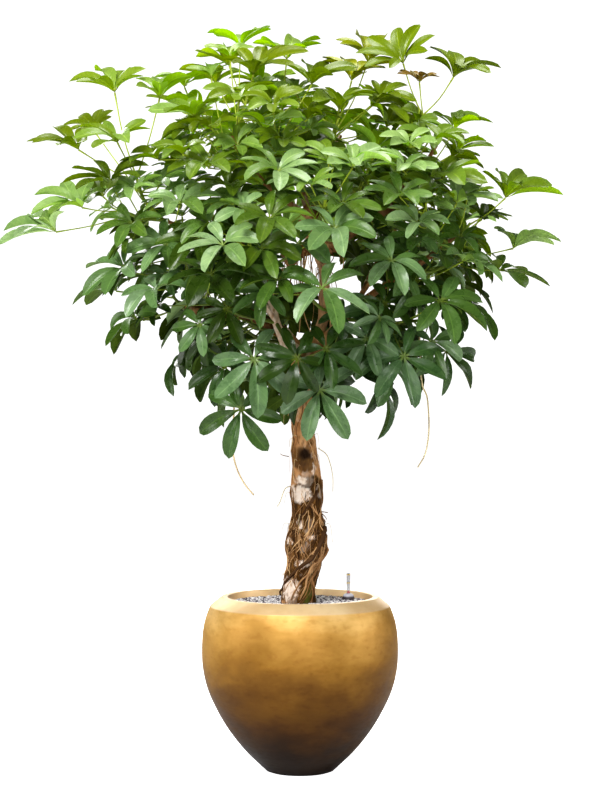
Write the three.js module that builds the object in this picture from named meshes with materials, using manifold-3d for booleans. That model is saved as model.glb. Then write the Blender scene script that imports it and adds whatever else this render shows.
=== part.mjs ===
// Potted umbrella plant: a Schefflera grown as a small tree, in a round metallic planter.
// Millimetres, +Z up. The origin is the middle of the planter's foot, on the floor.
// The side with the big front leaves looks along -Y.

import * as THREE from 'three';
import { mergeVertices } from 'three/addons/utils/BufferGeometryUtils.js';
import Module from 'manifold-3d';

const wasm = await Module();
wasm.setup();

// ---------------------------------------------------------------- driving dimensions

const SEAT = 0.3; // gap between pieces that rest on each other

const PLANTER = {
  foot: 78,
  // outside, from the foot to the edge of the rim: radius, height
  side: [
    [101, 14], [146, 58], [190, 114], [225, 174], [248, 230], [259.5, 290], [259.5, 356],
    [252.5, 402], [239, 441],
  ],
  rimRadius: 209,
  mouth: 192.5,
  height: 466,
  lip: 32, // depth of the rim's inner wall
  wall: 10,
  floor: 14,
  sides: 24,
};
const CAVITY = [[178, 114], [236, 230], [249, 330]]; // the planter's inside: radius, height

const FILL = {
  granulateTop: 447,
  relief: 2.2, // how far the stones stand above or below that
  rings: 3,
  sides: 24,
};

const GAUGE = {
  x: 130, y: 70,
  tube: 5.25, bore: 4.1, top: 522, bottom: 300,
  collar: 16.5, collarHeight: 17,
  rod: 1.3, head: 3.5, headLow: 464, headHigh: 472, float: 3.6, floatHigh: 345,
  sides: 8,
};

// trunk: height, middle in x, radius; the foot below the granulate is plain
const TRUNK = [
  [392, -4, 44], [450, -4.6, 46], [479, -3, 46], [516, 3.7, 42.4], [553, 12, 46.5], [590, 16.3, 53],
  [627, 16.8, 53], [664, 18, 44.7], [701, 17, 40], [738, 18.5, 41.5], [775, 18.2, 40.5], [812, 17, 36.5],
  [850, 13.5, 36], [887, 11, 32.2], [924, 7, 30], [987, 3.2, 28], [1040, 4, 27.5], [1085, 12, 26],
  [1130, 32, 21], [1165, 50, 16],
];
const TRUNK_SIDES = 11;
const BARK = { low: 460, full: 520, threefold: 0.055, twofold: 0.045 }; // ridges, from height to height
const FOOT_GAP = 1.5; // between the trunk's foot and the hole that it stands in

// limbs of the tree: points, radius at the start and at the end
const LIMBS = [
  // main
  { from: 17, to: 15, path: [[45, 0, 1150], [62, 0, 1200], [64, -2, 1290], [62, 4, 1374]] },
  // pale
  { from: 15, to: 7, path: [[5, -5, 1060], [-28, -28, 1105], [-62, -32, 1190], [-82, -28, 1275],
    [-125, -25, 1370], [-200, -40, 1450], [-290, -50, 1495]] },
  // sawn left
  { from: 21, to: 18, path: [[15, 5, 1095], [-45, 22, 1165], [-130, 22, 1213], [-305, 0, 1226]] },
  // sawn twig
  { from: 7, to: 6, path: [[-245, 5, 1235], [-247, -2, 1262], [-243, -10, 1292]] },
  // right
  { from: 17, to: 6, path: [[20, 0, 1095], [100, -22, 1185], [150, -32, 1240], [235, -42, 1295],
    [335, -50, 1360], [410, -60, 1420]] },
  // knot
  { from: 24, to: 20, path: [[-42, -16, 1352], [20, -18, 1392], [104, -12, 1396]] },
  // upper right
  { from: 14, to: 12, path: [[60, 3, 1370], [112, -10, 1412], [172, -20, 1450],
    [247, -30, 1500]] },
  // high right
  { from: 8, to: 6.5, path: [[205, -25, 1472], [262, 0, 1540], [330, -15, 1610], [360, -30, 1660]] },
  // top
  { from: 13, to: 6, path: [[60, 4, 1365], [30, -12, 1455], [0, -20, 1560], [-20, -30, 1665]] },
  // top left
  { from: 9, to: 6.5, path: [[25, -14, 1470], [-60, -40, 1530], [-135, -60, 1600], [-180, -60, 1680]] },
  // top right
  { from: 8, to: 6.5, path: [[2, -20, 1555], [60, 20, 1625], [110, 30, 1690]] },
  // back
  { from: 12, to: 6, path: [[60, 5, 1370], [60, 90, 1445], [30, 190, 1525], [0, 290, 1590]] },
  // back left
  { from: 9, to: 6.5, path: [[-100, -26, 1320], [-165, 80, 1400], [-235, 180, 1475],
    [-300, 250, 1530]] },
  // back right
  { from: 10, to: 6.5, path: [[150, -32, 1240], [190, 70, 1320], [235, 180, 1405],
    [280, 260, 1480]] },
  // front
  { from: 9, to: 6.5, path: [[64, -2, 1290], [50, -90, 1350], [20, -180, 1405], [0, -250, 1450]] },
  // front left
  { from: 8, to: 6.5, path: [[-62, -32, 1190], [-115, -115, 1270], [-165, -190, 1330]] },
  // front right
  { from: 8, to: 6.5, path: [[100, -22, 1185], [150, -115, 1250], [195, -190, 1315]] },
  // low back
  { from: 8, to: 6.5, path: [[8, 5, 1075], [-20, 100, 1130], [-45, 200, 1190]] },
  // low back right
  { from: 7, to: 6, path: [[100, -20, 1185], [130, 90, 1210], [170, 190, 1250]] },
  // left
  { from: 7, to: 6, path: [[-205, -40, 1450], [-300, -90, 1440], [-380, -80, 1470]] },
];
const LIMB_SIDES = 5;

// roots that run over the trunk: height, turn round it in degrees (0 is +X, -90 the front), and radius
const STRANDS = [
  { radius: 6.5, path: [[648, -25], [600, -60], [560, -90], [515, -118], [472, -150]] },
  { radius: 5.5, path: [[745, -55], [700, -85], [672, -112], [640, -140]] },
];

// aerial roots that hang free from the limbs
const HANGING = [
  [[-172, 6, 1222], [-172, -60, 1150], [-170, -110, 1060], [-172, -120, 955], [-176, -120, 900],
    [-174, -120, 850], [-162, -120, 805], [-142, -118, 768], [-120, -116, 742]],
  [[300, -46, 1340], [306, -60, 1280], [312, -75, 1180], [318, -80, 1040], [332, -80, 1000], [337, -80, 950],
    [337, -80, 900], [328, -80, 848], [308, -80, 812]],
];
const HANGING_RADIUS = 1.5;

const LEAF = {
  notch: 9, // where two leaflets part, from the hub
  top: 0.9, // the hub's skin above its middle
  under: 2.6, // the top of the stalk, below it
  stalk: 1.8, // radius
  wide: 1.25, // half of a leaflet's width, to its length's share: 1 / leaflets
  fewest: 6.3, // leaves with fewer leaflets than this don't get wider ones
  belly: 0.62, // where along its length it is widest
  fold: 0.055, // rise of the midrib there, to the length
  sag: 0.05, // drop of the tip, to the length
  short: 0.34, // how much shorter the leaflets beside the stalk are
  leaflets: 6, frontLeaflets: 7, bigLeaflets: 8,
  big: 142, // a leaf this large has the most leaflets
};

const STEM = { foot: 5.5, tip: 4.2, sides: 3, steps: 2, clear: 1 };

// How a new leaf is brought clear of what is there: each attempt draws again, and draws wider.
const PLACING = {
  attempts: 90,
  exact: 4, // attempts that keep the hub where it is wanted
  widest: 40, // the attempt from which the draws are at their widest
  thinner: 60, // the attempt from which the leaf has a leaflet less
  along: 90, aside: 36, // how far the hub moves
  tilt: 14, looseTilt: 40, // how far the tilt varies, in degrees
  turn: 24, looseTurn: 50, // and the way it looks
  shorter: 0.16, // how much shorter the leaf may get
  lean: 0.22, // how far the leaf's normal follows its stalk
  above: 0.3, // the least that its stalk stands below the leaf, as the cosine of their angle
  rooted: 260, // the most of a stalk that may lie in its stem, in mm³
  gap: 0.7, // the least way to anything else
  roots: 7, // places on the stem that are tried
};
const STALK = { length: 118, from: 0.3, step: 0.034, steps: 21, crowd: 0.045 }; // where on a stem they start

// Shoots placed by hand. tip: the end of its stem. leaves: x, y and z of each hub, and the leaf's radius.
const FRONT_SHOOTS = [
  { // upper left
    tip: [-430, -70, 1580],
    leaves: [[-485, -60, 1795, 140], [-365, -110, 1775, 140], [-470, -170, 1655, 135], [-580, -60, 1645, 140],
      [-550, 30, 1695, 110], [-420, -210, 1530, 100]],
  },
  { // left
    tip: [-465, -90, 1485],
    leaves: [[-485, -180, 1550, 145], [-565, -130, 1490, 140], [-520, -10, 1525, 100], [-640, -60, 1430, 160],
      [-430, -190, 1445, 110]],
  },
  { // lower left
    tip: [-355, -90, 1370],
    leaves: [[-455, -120, 1335, 130], [-395, -20, 1345, 80], [-345, -150, 1315, 75], [-305, -270, 1490, 125]],
  },
  { // inner left
    tip: [-225, -190, 1630],
    leaves: [[-365, -180, 1610, 100], [-315, -120, 1635, 115], [-295, -60, 1800, 115],
      [-230, -320, 1580, 130], [-230, -10, 1830, 95]],
  },
  { // top left
    tip: [-165, -60, 1715],
    leaves: [[-185, 10, 1890, 95], [-120, -130, 1835, 155], [-150, 60, 1920, 140], [-155, -220, 1755, 125]],
  },
  { // top middle
    tip: [-55, -180, 1660],
    leaves: [[-60, -290, 1745, 125], [-35, -20, 1885, 130], [30, -160, 1805, 140], [-55, -390, 1565, 130]],
  },
  { // top, right of the middle
    tip: [90, -100, 1700],
    leaves: [[100, -190, 1740, 130], [135, -60, 1825, 135], [180, 40, 1885, 135], [205, -130, 1770, 100],
      [225, -100, 1700, 110]],
  },
  { // top right
    tip: [315, -60, 1745],
    leaves: [[265, -50, 1850, 160], [310, -120, 1815, 75], [405, 0, 1840, 140], [340, -190, 1650, 120],
      [285, -260, 1650, 115]],
  },
  { // right
    tip: [340, -60, 1600],
    leaves: [[405, -20, 1700, 110], [365, -180, 1560, 140], [260, -300, 1575, 110], [420, 60, 1650, 110]],
  },
  { // middle right
    tip: [60, -300, 1480],
    leaves: [[130, -390, 1575, 130], [35, -440, 1530, 120], [105, -400, 1485, 115], [85, -440, 1420, 130]],
  },
  { // right of the middle
    tip: [310, -170, 1475],
    leaves: [[250, -350, 1505, 115], [295, -300, 1440, 110], [230, -350, 1345, 115], [405, -150, 1500, 130]],
  },
  { // far right
    tip: [445, -40, 1450],
    leaves: [[540, -40, 1520, 150], [445, -90, 1520, 90], [480, -10, 1465, 75], [415, -90, 1415, 85],
      [365, -160, 1345, 130]],
  },
  { // middle left
    tip: [-120, -320, 1405],
    leaves: [[-75, -450, 1445, 120], [-190, -430, 1380, 130], [-95, -430, 1370, 115]],
  },
  { // left of the middle
    tip: [-215, -170, 1430],
    leaves: [[-180, -250, 1530, 130], [-255, -270, 1400, 125], [-165, -210, 1480, 125],
      [-335, -170, 1400, 125], [-140, -300, 1620, 115]],
  },
  { // star in front of the sawn branch
    tip: [-245, -230, 1255],
    leaves: [[-220, -410, 1310, 140], [-185, -300, 1225, 100], [-240, -290, 1275, 100],
      [-255, -240, 1185, 85], [-365, -130, 1235, 90], [-245, -190, 1150, 75]],
  },
  { // below the middle
    tip: [0, -290, 1275],
    leaves: [[-55, -440, 1295, 110], [55, -440, 1275, 140], [-80, -340, 1265, 100]],
  },
  { // low star on the left
    tip: [-115, -190, 1060],
    leaves: [[-115, -340, 1100, 140], [-150, -260, 970, 130], [-190, -210, 1080, 115]],
  },
  { // low in the middle
    tip: [15, -220, 1090],
    leaves: [[-15, -350, 1105, 130], [65, -330, 1125, 115], [50, -300, 1020, 135]],
  },
  { // dark star on the right
    tip: [255, -150, 1190],
    leaves: [[355, -270, 1245, 135], [170, -250, 1150, 110], [215, -200, 1110, 100], [265, -260, 1105, 130],
      [215, -180, 1240, 105]],
  },
  { // low on the right
    tip: [340, -40, 1200],
    leaves: [[340, -130, 1145, 115], [385, -40, 1115, 115], [400, -20, 1245, 110]],
  },
];

// Shoots placed by the rule in ruleShoots: the sides, the back, and the dark inside.
const CROWN = {
  y: 20, // its middle
  outline: [ // height, radius, middle in x
    [870, 150, 30], [1000, 270, 90], [1115, 320, 100], [1250, 400, 60], [1380, 505, -10], [1510, 545, -50],
    [1645, 555, -60], [1780, 530, -40], [1880, 450, -20], [1950, 280, -20], [1990, 60, -20],
  ],
  back: 17, inner: 5, // shoots
  leaves: 4, // on each of them
  edge: 205, deep: 330, // how far inside the outline their stems end
  backFrom: -22, backTurn: 224, // the part of the round that they stand in, in degrees
  innerFrom: -160, innerTurn: 140,
  low: 1140, high: 1850,
  front: 450, splay: 0.4, // how far to the front, and how far to the side, the front leaves look
  level: 12, // the others lie this much flatter, in degrees
  stalk: 130, leaf: 129,
  wood: 60, // the least way from a shoot's tip to the wood
};
const GOLDEN_TURN = 137.508;
const GOLDEN_SHARE = 0.618034;

const COLOURS = {
  planter: '#c08a3e', substrate: '#3a2a1e', granulate: '#b9b6b0', clear: '#d8dcdd', collar: '#5d5865',
  float: '#c2332a', bark: '#7a5336', lowLeaf: '#27481f', highLeaf: '#7fae3a',
};

// ---------------------------------------------------------------- helpers

const vec = (x, y, z) => new THREE.Vector3(x, y, z);
const lerp = THREE.MathUtils.lerp;
const rad = THREE.MathUtils.degToRad;
const UP = vec(0, 0, 1);

/** A repeatable random draw from 0 to 1. */
function seeded(seed) {
  let state = (seed * 2654435761) >>> 0;
  return () => {
    state = (state + 0x6d2b79f5) >>> 0;
    let t = Math.imul(state ^ (state >>> 15), 1 | state);
    t = (t + Math.imul(t ^ (t >>> 7), 61 | t)) ^ t;
    return ((t ^ (t >>> 14)) >>> 0) / 4294967296;
  };
}

/** A value between the rows [at, value, ...] of a table, at a place along it. */
function between(rows, at, column = 1) {
  if (at <= rows[0][0]) return rows[0][column];
  for (let i = 1; i < rows.length; i++) {
    const [low, high] = [rows[i - 1], rows[i]];
    if (at <= high[0]) return lerp(low[column], high[column], (at - low[0]) / (high[0] - low[0]));
  }
  return rows.at(-1)[column];
}

/** A solid for joining and cutting, from points and triangles. */
function solidOf(points, faces) {
  return new wasm.Manifold(new wasm.Mesh({
    numProp: 3,
    vertProperties: new Float32Array(points.flatMap((p) => [p.x, p.y, p.z])),
    triVerts: new Uint32Array(faces.flat()),
  }));
}

function solid(geometry) {
  const bare = geometry.clone();
  for (const name of Object.keys(bare.attributes)) if (name !== 'position') bare.deleteAttribute(name);
  const merged = mergeVertices(bare, 1e-3);
  return new wasm.Manifold(new wasm.Mesh({
    numProp: 3,
    vertProperties: new Float32Array(merged.attributes.position.array),
    triVerts: new Uint32Array(merged.index.array),
  }));
}

function geometryOf(body) {
  const mesh = body.getMesh();
  const geometry = new THREE.BufferGeometry();
  geometry.setAttribute('position', new THREE.BufferAttribute(mesh.vertProperties, 3));
  geometry.setIndex(new THREE.BufferAttribute(mesh.triVerts, 1));
  geometry.computeVertexNormals();
  return geometry;
}

/** A turned body. Its profile of [radius, height] goes up on the outside and back down inside. */
function turned(profile, sides, x = 0, y = 0) {
  const geometry = new THREE.LatheGeometry(profile.map(([r, z]) => new THREE.Vector2(r, z)), sides);
  geometry.rotateX(Math.PI / 2);
  geometry.translate(x, y, 0);
  return solid(geometry);
}

/** A closed body through rings of points that all have the same number of corners. */
function loft(rings) {
  const corners = rings[0].length;
  const faces = [];
  for (let i = 1; i < rings.length; i++) {
    for (let k = 0; k < corners; k++) {
      const [a, b] = [(i - 1) * corners + k, (i - 1) * corners + ((k + 1) % corners)];
      faces.push([a, b, b + corners], [a, b + corners, a + corners]);
    }
  }
  const last = (rings.length - 1) * corners;
  for (let k = 1; k < corners - 1; k++) {
    faces.push([0, k + 1, k], [last, last + k, last + k + 1]);
  }
  return solidOf(rings.flat(), faces);
}

/** A round limb along a smooth curve through points, tapering evenly. */
function limb(path, from, to, sides, steps) {
  const curve = new THREE.CatmullRomCurve3(path.map((p) => vec(...p)));
  const frames = curve.computeFrenetFrames(steps);
  const rings = [];
  for (let i = 0; i <= steps; i++) {
    const middle = curve.getPointAt(i / steps);
    const radius = lerp(from, to, i / steps);
    rings.push(Array.from({ length: sides }, (_, k) => {
      const turn = (2 * Math.PI * k) / sides;
      return middle.clone()
        .addScaledVector(frames.normals[i], radius * Math.cos(turn))
        .addScaledVector(frames.binormals[i], radius * Math.sin(turn));
    }));
  }
  return loft(rings);
}

// ---------------------------------------------------------------- planter and fill

function planter() {
  const { foot, side, rimRadius, mouth, height, lip, wall, floor, sides } = PLANTER;
  return turned([
    [0, 0], [foot, 0], ...side, [rimRadius, height], [mouth, height], [mouth, height - lip],
    [side.at(-1)[0] - wall, height - lip], ...CAVITY.toReversed(), [foot, floor], [0, floor],
  ], sides);
}

/** The plain hole that the trunk's foot stands in. */
function trunkHole(low, high) {
  return loft([trunkRing(low, FOOT_GAP, false), trunkRing(high, FOOT_GAP, false)]);
}

function gaugeHole(low, high) {
  return turned([[0, low], [GAUGE.tube + SEAT, low], [GAUGE.tube + SEAT, high], [0, high]],
    GAUGE.sides, GAUGE.x, GAUGE.y);
}

function substrate() {
  const { foot, side, height, lip, wall, floor, sides } = PLANTER;
  const top = height - lip - SEAT;
  const inset = 1.5 * SEAT;
  const body = turned([
    [0, floor + SEAT], [foot - inset, floor + SEAT], ...CAVITY.map(([r, z]) => [r - inset, z]),
    [side.at(-1)[0] - wall - inset, top], [0, top],
  ], sides);
  return body
    .subtract(trunkHole(TRUNK[0][0] - SEAT, height))
    .subtract(gaugeHole(GAUGE.bottom - SEAT, height));
}

/** The layer of stones: a disc with an uneven top, with holes for the trunk and the gauge. */
function granulate() {
  const { granulateTop, relief, rings, sides } = FILL;
  const bottom = PLANTER.height - PLANTER.lip;
  const edge = PLANTER.mouth * Math.cos(Math.PI / PLANTER.sides) - SEAT;
  const draw = seeded(5);
  const ringAt = (i) => {
    const radius = (edge * i) / rings;
    return Array.from({ length: sides }, (_, k) => {
      const turn = (2 * Math.PI * (k + (i % 2) / 2)) / sides;
      const rise = relief * (2 * draw() - 1);
      return vec(radius * Math.cos(turn), radius * Math.sin(turn), granulateTop + rise);
    });
  };
  const upper = Array.from({ length: rings - 1 }, (_, i) => ringAt(rings - i));
  const lower = upper[0].map((p) => vec(p.x, p.y, bottom));
  return loft([lower, ...upper])
    .subtract(trunkHole(bottom - 1, granulateTop + 20))
    .subtract(gaugeHole(bottom - 1, granulateTop + 20));
}

function gaugeTube() {
  const { x, y, tube, bore, top, bottom, sides } = GAUGE;
  return turned([
    [0, top - 2], [bore, top - 2], [bore, bottom], [tube, bottom], [tube, top - 1], [tube - 1, top], [0, top],
  ], sides, x, y);
}

function gaugeCollar() {
  const { x, y, tube, collar, collarHeight, sides } = GAUGE;
  const low = FILL.granulateTop + FILL.relief + SEAT;
  const bore = tube + SEAT;
  return turned([
    [bore, low], [collar, low], [collar, low + 3], [collar * 0.86, low + collarHeight * 0.6],
    [collar * 0.55, low + collarHeight * 0.92], [bore, low + collarHeight], [bore, low],
  ], sides, x, y);
}

function gaugeFloat() {
  const { x, y, rod, head, headLow, headHigh, float, floatHigh, bottom, sides } = GAUGE;
  return turned([
    [0, bottom + 5], [float, bottom + 8], [float, floatHigh], [rod, floatHigh + 3], [rod, headLow - 2],
    [head, headLow], [head, headHigh], [0, headHigh + 2],
  ], sides, x, y);
}

// ---------------------------------------------------------------- tree

/** A ring of the trunk. Above its plain foot, waves make the ridges of the bark and the grown-on roots. */
function trunkRing(z, extra, rough = true) {
  const { low, full, threefold, twofold } = BARK;
  const middle = between(TRUNK, z);
  const radius = between(TRUNK, z, 2) + extra;
  const depth = rough ? THREE.MathUtils.clamp((z - low) / (full - low), 0, 1) : 0;
  return Array.from({ length: TRUNK_SIDES }, (_, k) => {
    const turn = (2 * Math.PI * k) / TRUNK_SIDES;
    const ridge = threefold * Math.sin(3 * turn + z / 47) + twofold * Math.sin(2 * turn - z / 31 + 1);
    const r = radius * (1 + depth * ridge);
    return vec(middle + r * Math.cos(turn), r * Math.sin(turn), z);
  });
}

/** A root that lies on the trunk, half sunk in it. */
function strand({ radius, path }, extra) {
  const points = path.map(([z, degrees]) => {
    const reach = between(TRUNK, z, 2) + radius * 0.15;
    return [between(TRUNK, z) + reach * Math.cos(rad(degrees)), reach * Math.sin(rad(degrees)), z];
  });
  return limb(points, radius + extra, radius * 0.7 + extra, 4, path.length + 2);
}

/** The tree, grown by an extra skin where it is used to cut or to keep clear. */
function tree(extra = 0) {
  let body = loft(TRUNK.map(([z]) => trunkRing(z, extra)));
  for (const { from, to, path } of LIMBS) {
    body = body.add(limb(path, from + extra, to + extra, LIMB_SIDES, path.length));
  }
  for (const item of STRANDS) body = body.add(strand(item, extra));
  for (const path of HANGING) {
    body = body.add(limb(path, HANGING_RADIUS * 1.6 + extra, HANGING_RADIUS + extra, 3, path.length + 2));
  }
  return body;
}

// ---------------------------------------------------------------- leaves

/**
 * How leaves sit at a height: the tilt of the normal above level, the leaflets' droop and their spread.
 * Leaves far out of the crown get as much light as higher ones, and sit like them.
 */
const HABIT = [ // height, tilt, droop, spread
  [950, 10, 14, 340], [1150, 26, 10, 340], [1300, 42, 2, 335], [1450, 58, -12, 325], [1600, 67, -22, 315],
  [1750, 72, -26, 312], [1900, 72, -26, 312],
];

function habitHeight(at) {
  const out = Math.hypot(at.x - between(CROWN.outline, at.z, 2), at.y - CROWN.y);
  return at.z + 1.5 * Math.max(0, out - 430);
}

/**
 * One palmate leaf with its stalk, as a closed body: a hub, a ring of leaflets that are each folded up from
 * the midrib, and a three-sided stalk that runs down from the hub to its root on the stem.
 */
function leafBody({ root, hub, normal, count, length, droop, spread, draw, margin = 0 }) {
  const w = normal.clone().normalize();
  const along = hub.clone().sub(root).normalize();
  const u = along.clone().cross(w);
  if (u.lengthSq() < 1e-3) u.copy(w).cross(vec(0, 1, 0));
  u.normalize();
  const v = w.clone().cross(u);

  const at = (turn, reach, rise) => hub.clone()
    .addScaledVector(v, reach * Math.cos(turn))
    .addScaledVector(u, -reach * Math.sin(turn))
    .addScaledVector(w, rise);

  const points = [hub.clone().addScaledVector(w, LEAF.top + margin)];
  const turns = [];
  const step = rad(spread) / count;
  for (let i = 0; i < count; i++) {
    const turn = -rad(spread) / 2 + step * (i + 0.5) + rad(5) * (draw() - 0.5);
    const share = 1 - LEAF.short * (0.5 - 0.5 * Math.cos(turn));
    const reach = length * share * (0.95 + 0.1 * draw()) + margin;
    const fall = rad(droop + 12 * (draw() - 0.5));
    const tip = at(turn, reach * Math.cos(fall), -reach * Math.sin(fall));
    tip.z -= LEAF.sag * reach;
    const half = ((reach * LEAF.wide) / Math.max(count, LEAF.fewest)) * (0.94 + 0.12 * draw()) + margin;
    const rib = hub.clone().lerp(tip, LEAF.belly).addScaledVector(w, LEAF.fold * reach);
    const side = v.clone().multiplyScalar(-Math.sin(turn)).addScaledVector(u, -Math.cos(turn));
    const notch = i === 0 ? Math.PI : turn - step / 2;
    points.push(at(notch, LEAF.notch, -LEAF.notch * Math.sin(rad(droop)) - 0.4));
    points.push(rib.clone().addScaledVector(side, -half), tip, rib.clone().addScaledVector(side, half));
    turns.push(turn);
  }

  // the underside of each leaflet runs to the nearest of the stalk's three corners
  const rim = points.length - 1;
  const neckStart = points.length;
  const footStart = neckStart + 3;
  const corners = turns.map((turn) => (
    Math.floor(((turn + 2 * Math.PI) % (2 * Math.PI)) / ((2 * Math.PI) / 3)) % 3
  ));
  const faces = [];
  for (let j = 0; j < rim; j++) {
    const next = (j + 1) % rim;
    const here = corners[Math.floor(j / 4)];
    const before = corners[(Math.floor(j / 4) + count - 1) % count];
    faces.push([0, 1 + j, 1 + next], [neckStart + here, 1 + next, 1 + j]);
    if (j % 4 === 0 && here !== before) faces.push([1 + j, neckStart + before, neckStart + here]);
  }

  const neck = hub.clone().addScaledVector(w, -LEAF.under);
  const across = along.clone().cross(u);
  const radius = LEAF.stalk + margin;
  for (const [middle, out] of [[neck, v], [root, across]]) {
    for (let k = 0; k < 3; k++) {
      const turn = (2 * Math.PI * (k + 0.5)) / 3;
      points.push(middle.clone()
        .addScaledVector(out, radius * Math.cos(turn))
        .addScaledVector(u, -radius * Math.sin(turn)));
    }
  }
  for (let k = 0; k < 3; k++) {
    const next = (k + 1) % 3;
    faces.push([neckStart + next, neckStart + k, footStart + k]);
    faces.push([neckStart + next, footStart + k, footStart + next]);
  }
  faces.push([footStart, footStart + 2, footStart + 1]);
  return solidOf(points, faces);
}

// ---------------------------------------------------------------- shoots

const bark = tree();
const keepClear = tree(SEAT + 0.05);

/** Points along every limb that a shoot can grow from. */
const growthPoints = LIMBS.flatMap(({ path }) => {
  const curve = new THREE.CatmullRomCurve3(path.map((p) => vec(...p)));
  return Array.from({ length: 12 }, (_, i) => curve.getPointAt(0.28 + 0.06 * i));
});

const placed = []; // stems and leaves that new ones keep clear of

function boxOf(body) {
  const { min, max } = body.boundingBox();
  return new THREE.Box3(vec(...min), vec(...max));
}

function keep(body) {
  placed.push({ body, box: boxOf(body) });
}

function meets(a, b) {
  const common = a.intersect(b);
  const found = !common.isEmpty();
  common.delete();
  return found;
}

function isClear(body) {
  const box = boxOf(body);
  return placed.every((other) => !box.intersectsBox(other.box) || !meets(body, other.body));
}

/** The stem of a shoot, cut to the bark that it grows from. */
function stemFor(tip, draw) {
  const order = growthPoints
    .map((point) => ({ point, cost: point.distanceTo(tip) + Math.max(0, point.z - tip.z + 60) * 2 }))
    .sort((a, b) => a.cost - b.cost);
  for (let attempt = 0; ; attempt++) {
    const base = order[Math.floor(attempt / 2)].point;
    const bow = base.clone().lerp(tip, 0.5);
    bow.z -= base.distanceTo(tip) * (0.04 + 0.08 * draw());
    bow.x += 20 * (draw() - 0.5);
    bow.y += 20 * (draw() - 0.5);
    const path = [base, bow, tip].map((p) => p.toArray());
    const { foot, tip: end, sides, steps, clear } = STEM;
    const cut = limb(path, foot, end, sides, steps).subtract(keepClear);
    if (cut.decompose().length === 1 && isClear(limb(path, foot + clear, end + clear, sides, steps))) {
      const curve = new THREE.CatmullRomCurve3([base, bow, tip]);
      return { body: cut, spine: curve.getSpacedPoints(steps) };
    }
  }
}

/** Places on the stem where a stalk can start, best first: about as long as stalks are, and going upwards. */
function stalkRoots(spine, hub, taken) {
  const { length, from, step, steps, crowd } = STALK;
  const roots = Array.from({ length: steps }, (_, i) => {
    const t = from + step * i;
    const span = Math.floor(t * STEM.steps);
    const point = spine[span].clone().lerp(spine[span + 1], t * STEM.steps - span);
    const near = taken.filter((other) => Math.abs(other - t) < crowd).length;
    const down = Math.max(0, point.z - hub.z + 10);
    return { t, point, cost: Math.abs(point.distanceTo(hub) - length) + 1.2 * down + 60 * near };
  });
  return roots.sort((a, b) => a.cost - b.cost).slice(0, PLACING.roots);
}

/** The level way that a leaf looks: out of the crown, or mostly to the front. */
function facingAt(hub, front) {
  const out = vec(hub.x - between(CROWN.outline, hub.z, 2), hub.y - CROWN.y, 0);
  return (front ? vec(out.x * CROWN.splay, -CROWN.front, 0) : out).normalize();
}

/** Tries the leaf as wanted, then bent a little more each time, until it is clear of everything else. */
function placeLeaf({ stem, roots, hub, radius, facing, count, seed, shift, level }) {
  for (let attempt = 0; attempt < PLACING.attempts; attempt++) {
    const draw = seeded(seed * 100 + attempt);
    const loose = Math.min(1, attempt / PLACING.widest);
    const { point: root, t } = roots[Math.floor(attempt / 3) % roots.length];
    const at = hub.clone();
    if (attempt > PLACING.exact) {
      at.addScaledVector(shift, PLACING.along * loose * (draw() - 0.35));
      const aside = vec(draw() - 0.5, draw() - 0.5, draw() - 0.5);
      at.addScaledVector(aside, PLACING.aside * loose);
    }
    const lit = habitHeight(at);
    const tilts = PLACING.tilt * (draw() - 0.5) + PLACING.looseTilt * loose * (draw() - 0.5);
    const tilt = rad(between(HABIT, lit) + level + tilts);
    const turn = rad(PLACING.turn + PLACING.looseTurn * loose) * (draw() - 0.5);
    const normal = facing.clone().applyAxisAngle(UP, turn).multiplyScalar(Math.cos(tilt));
    normal.addScaledVector(UP, Math.sin(tilt));
    const along = at.clone().sub(root).normalize();
    const lean = Math.max(PLACING.lean, PLACING.above - normal.dot(along));
    normal.addScaledVector(along, lean).normalize();
    const spec = {
      root, hub: at, normal,
      count: attempt > PLACING.thinner ? count - 1 : count,
      length: radius * (1 - PLACING.shorter * loose),
      droop: between(HABIT, lit, 2), spread: between(HABIT, lit, 3),
    };
    const body = leafBody({ ...spec, draw: seeded(seed * 100 + 7) });
    const wide = leafBody({ ...spec, draw: seeded(seed * 100 + 7), margin: PLACING.gap });
    const common = body.intersect(stem);
    const rooted = !common.isEmpty() && common.volume() < PLACING.rooted && common.decompose().length === 1;
    const fits = rooted && !meets(wide, keepClear) && isClear(wide);
    common.delete();
    wide.delete();
    if (fits) return { body, t };
    body.delete();
  }
  return null;
}

/** A shoot of the sides, the back or the inside, at a turn round the crown and a way in from its outline. */
function ruleShoot(index, degrees, inset, seed) {
  const { outline, y, low, high, wood, leaves: count, stalk, leaf } = CROWN;
  const draw = seeded(seed);
  const z = lerp(low, high, (index * GOLDEN_SHARE + 0.31) % 1);
  const out = vec(Math.cos(rad(degrees)), Math.sin(rad(degrees)), 0);
  const tip = out.clone().multiplyScalar(Math.max(50, between(outline, z) - inset));
  tip.add(vec(between(outline, z, 2), y, z - 60));
  while (growthPoints.some((point) => point.distanceTo(tip) < wood)) tip.addScaledVector(out, 15);
  const rise = rad(lerp(-5, 80, (z - low) / (high - low)));
  const axis = out.clone().multiplyScalar(Math.cos(rise)).addScaledVector(UP, Math.sin(rise));
  const across = axis.clone().cross(UP).normalize();
  const third = axis.clone().cross(across);
  const leaves = Array.from({ length: count }, (_, j) => {
    const polar = rad(j === 0 ? 20 : 62 + 16 * draw());
    const turn = rad(GOLDEN_TURN * j + 72 * draw() + 90 * index);
    const way = axis.clone().multiplyScalar(Math.cos(polar))
      .addScaledVector(across, Math.sin(polar) * Math.cos(turn))
      .addScaledVector(third, Math.sin(polar) * Math.sin(turn));
    way.z = Math.max(way.z, -0.35);
    const hub = tip.clone().addScaledVector(way.normalize(), stalk * (0.85 + 0.4 * draw()));
    return [...hub.toArray(), leaf * (0.85 + 0.25 * draw())];
  });
  return { tip: tip.toArray(), leaves };
}

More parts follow.
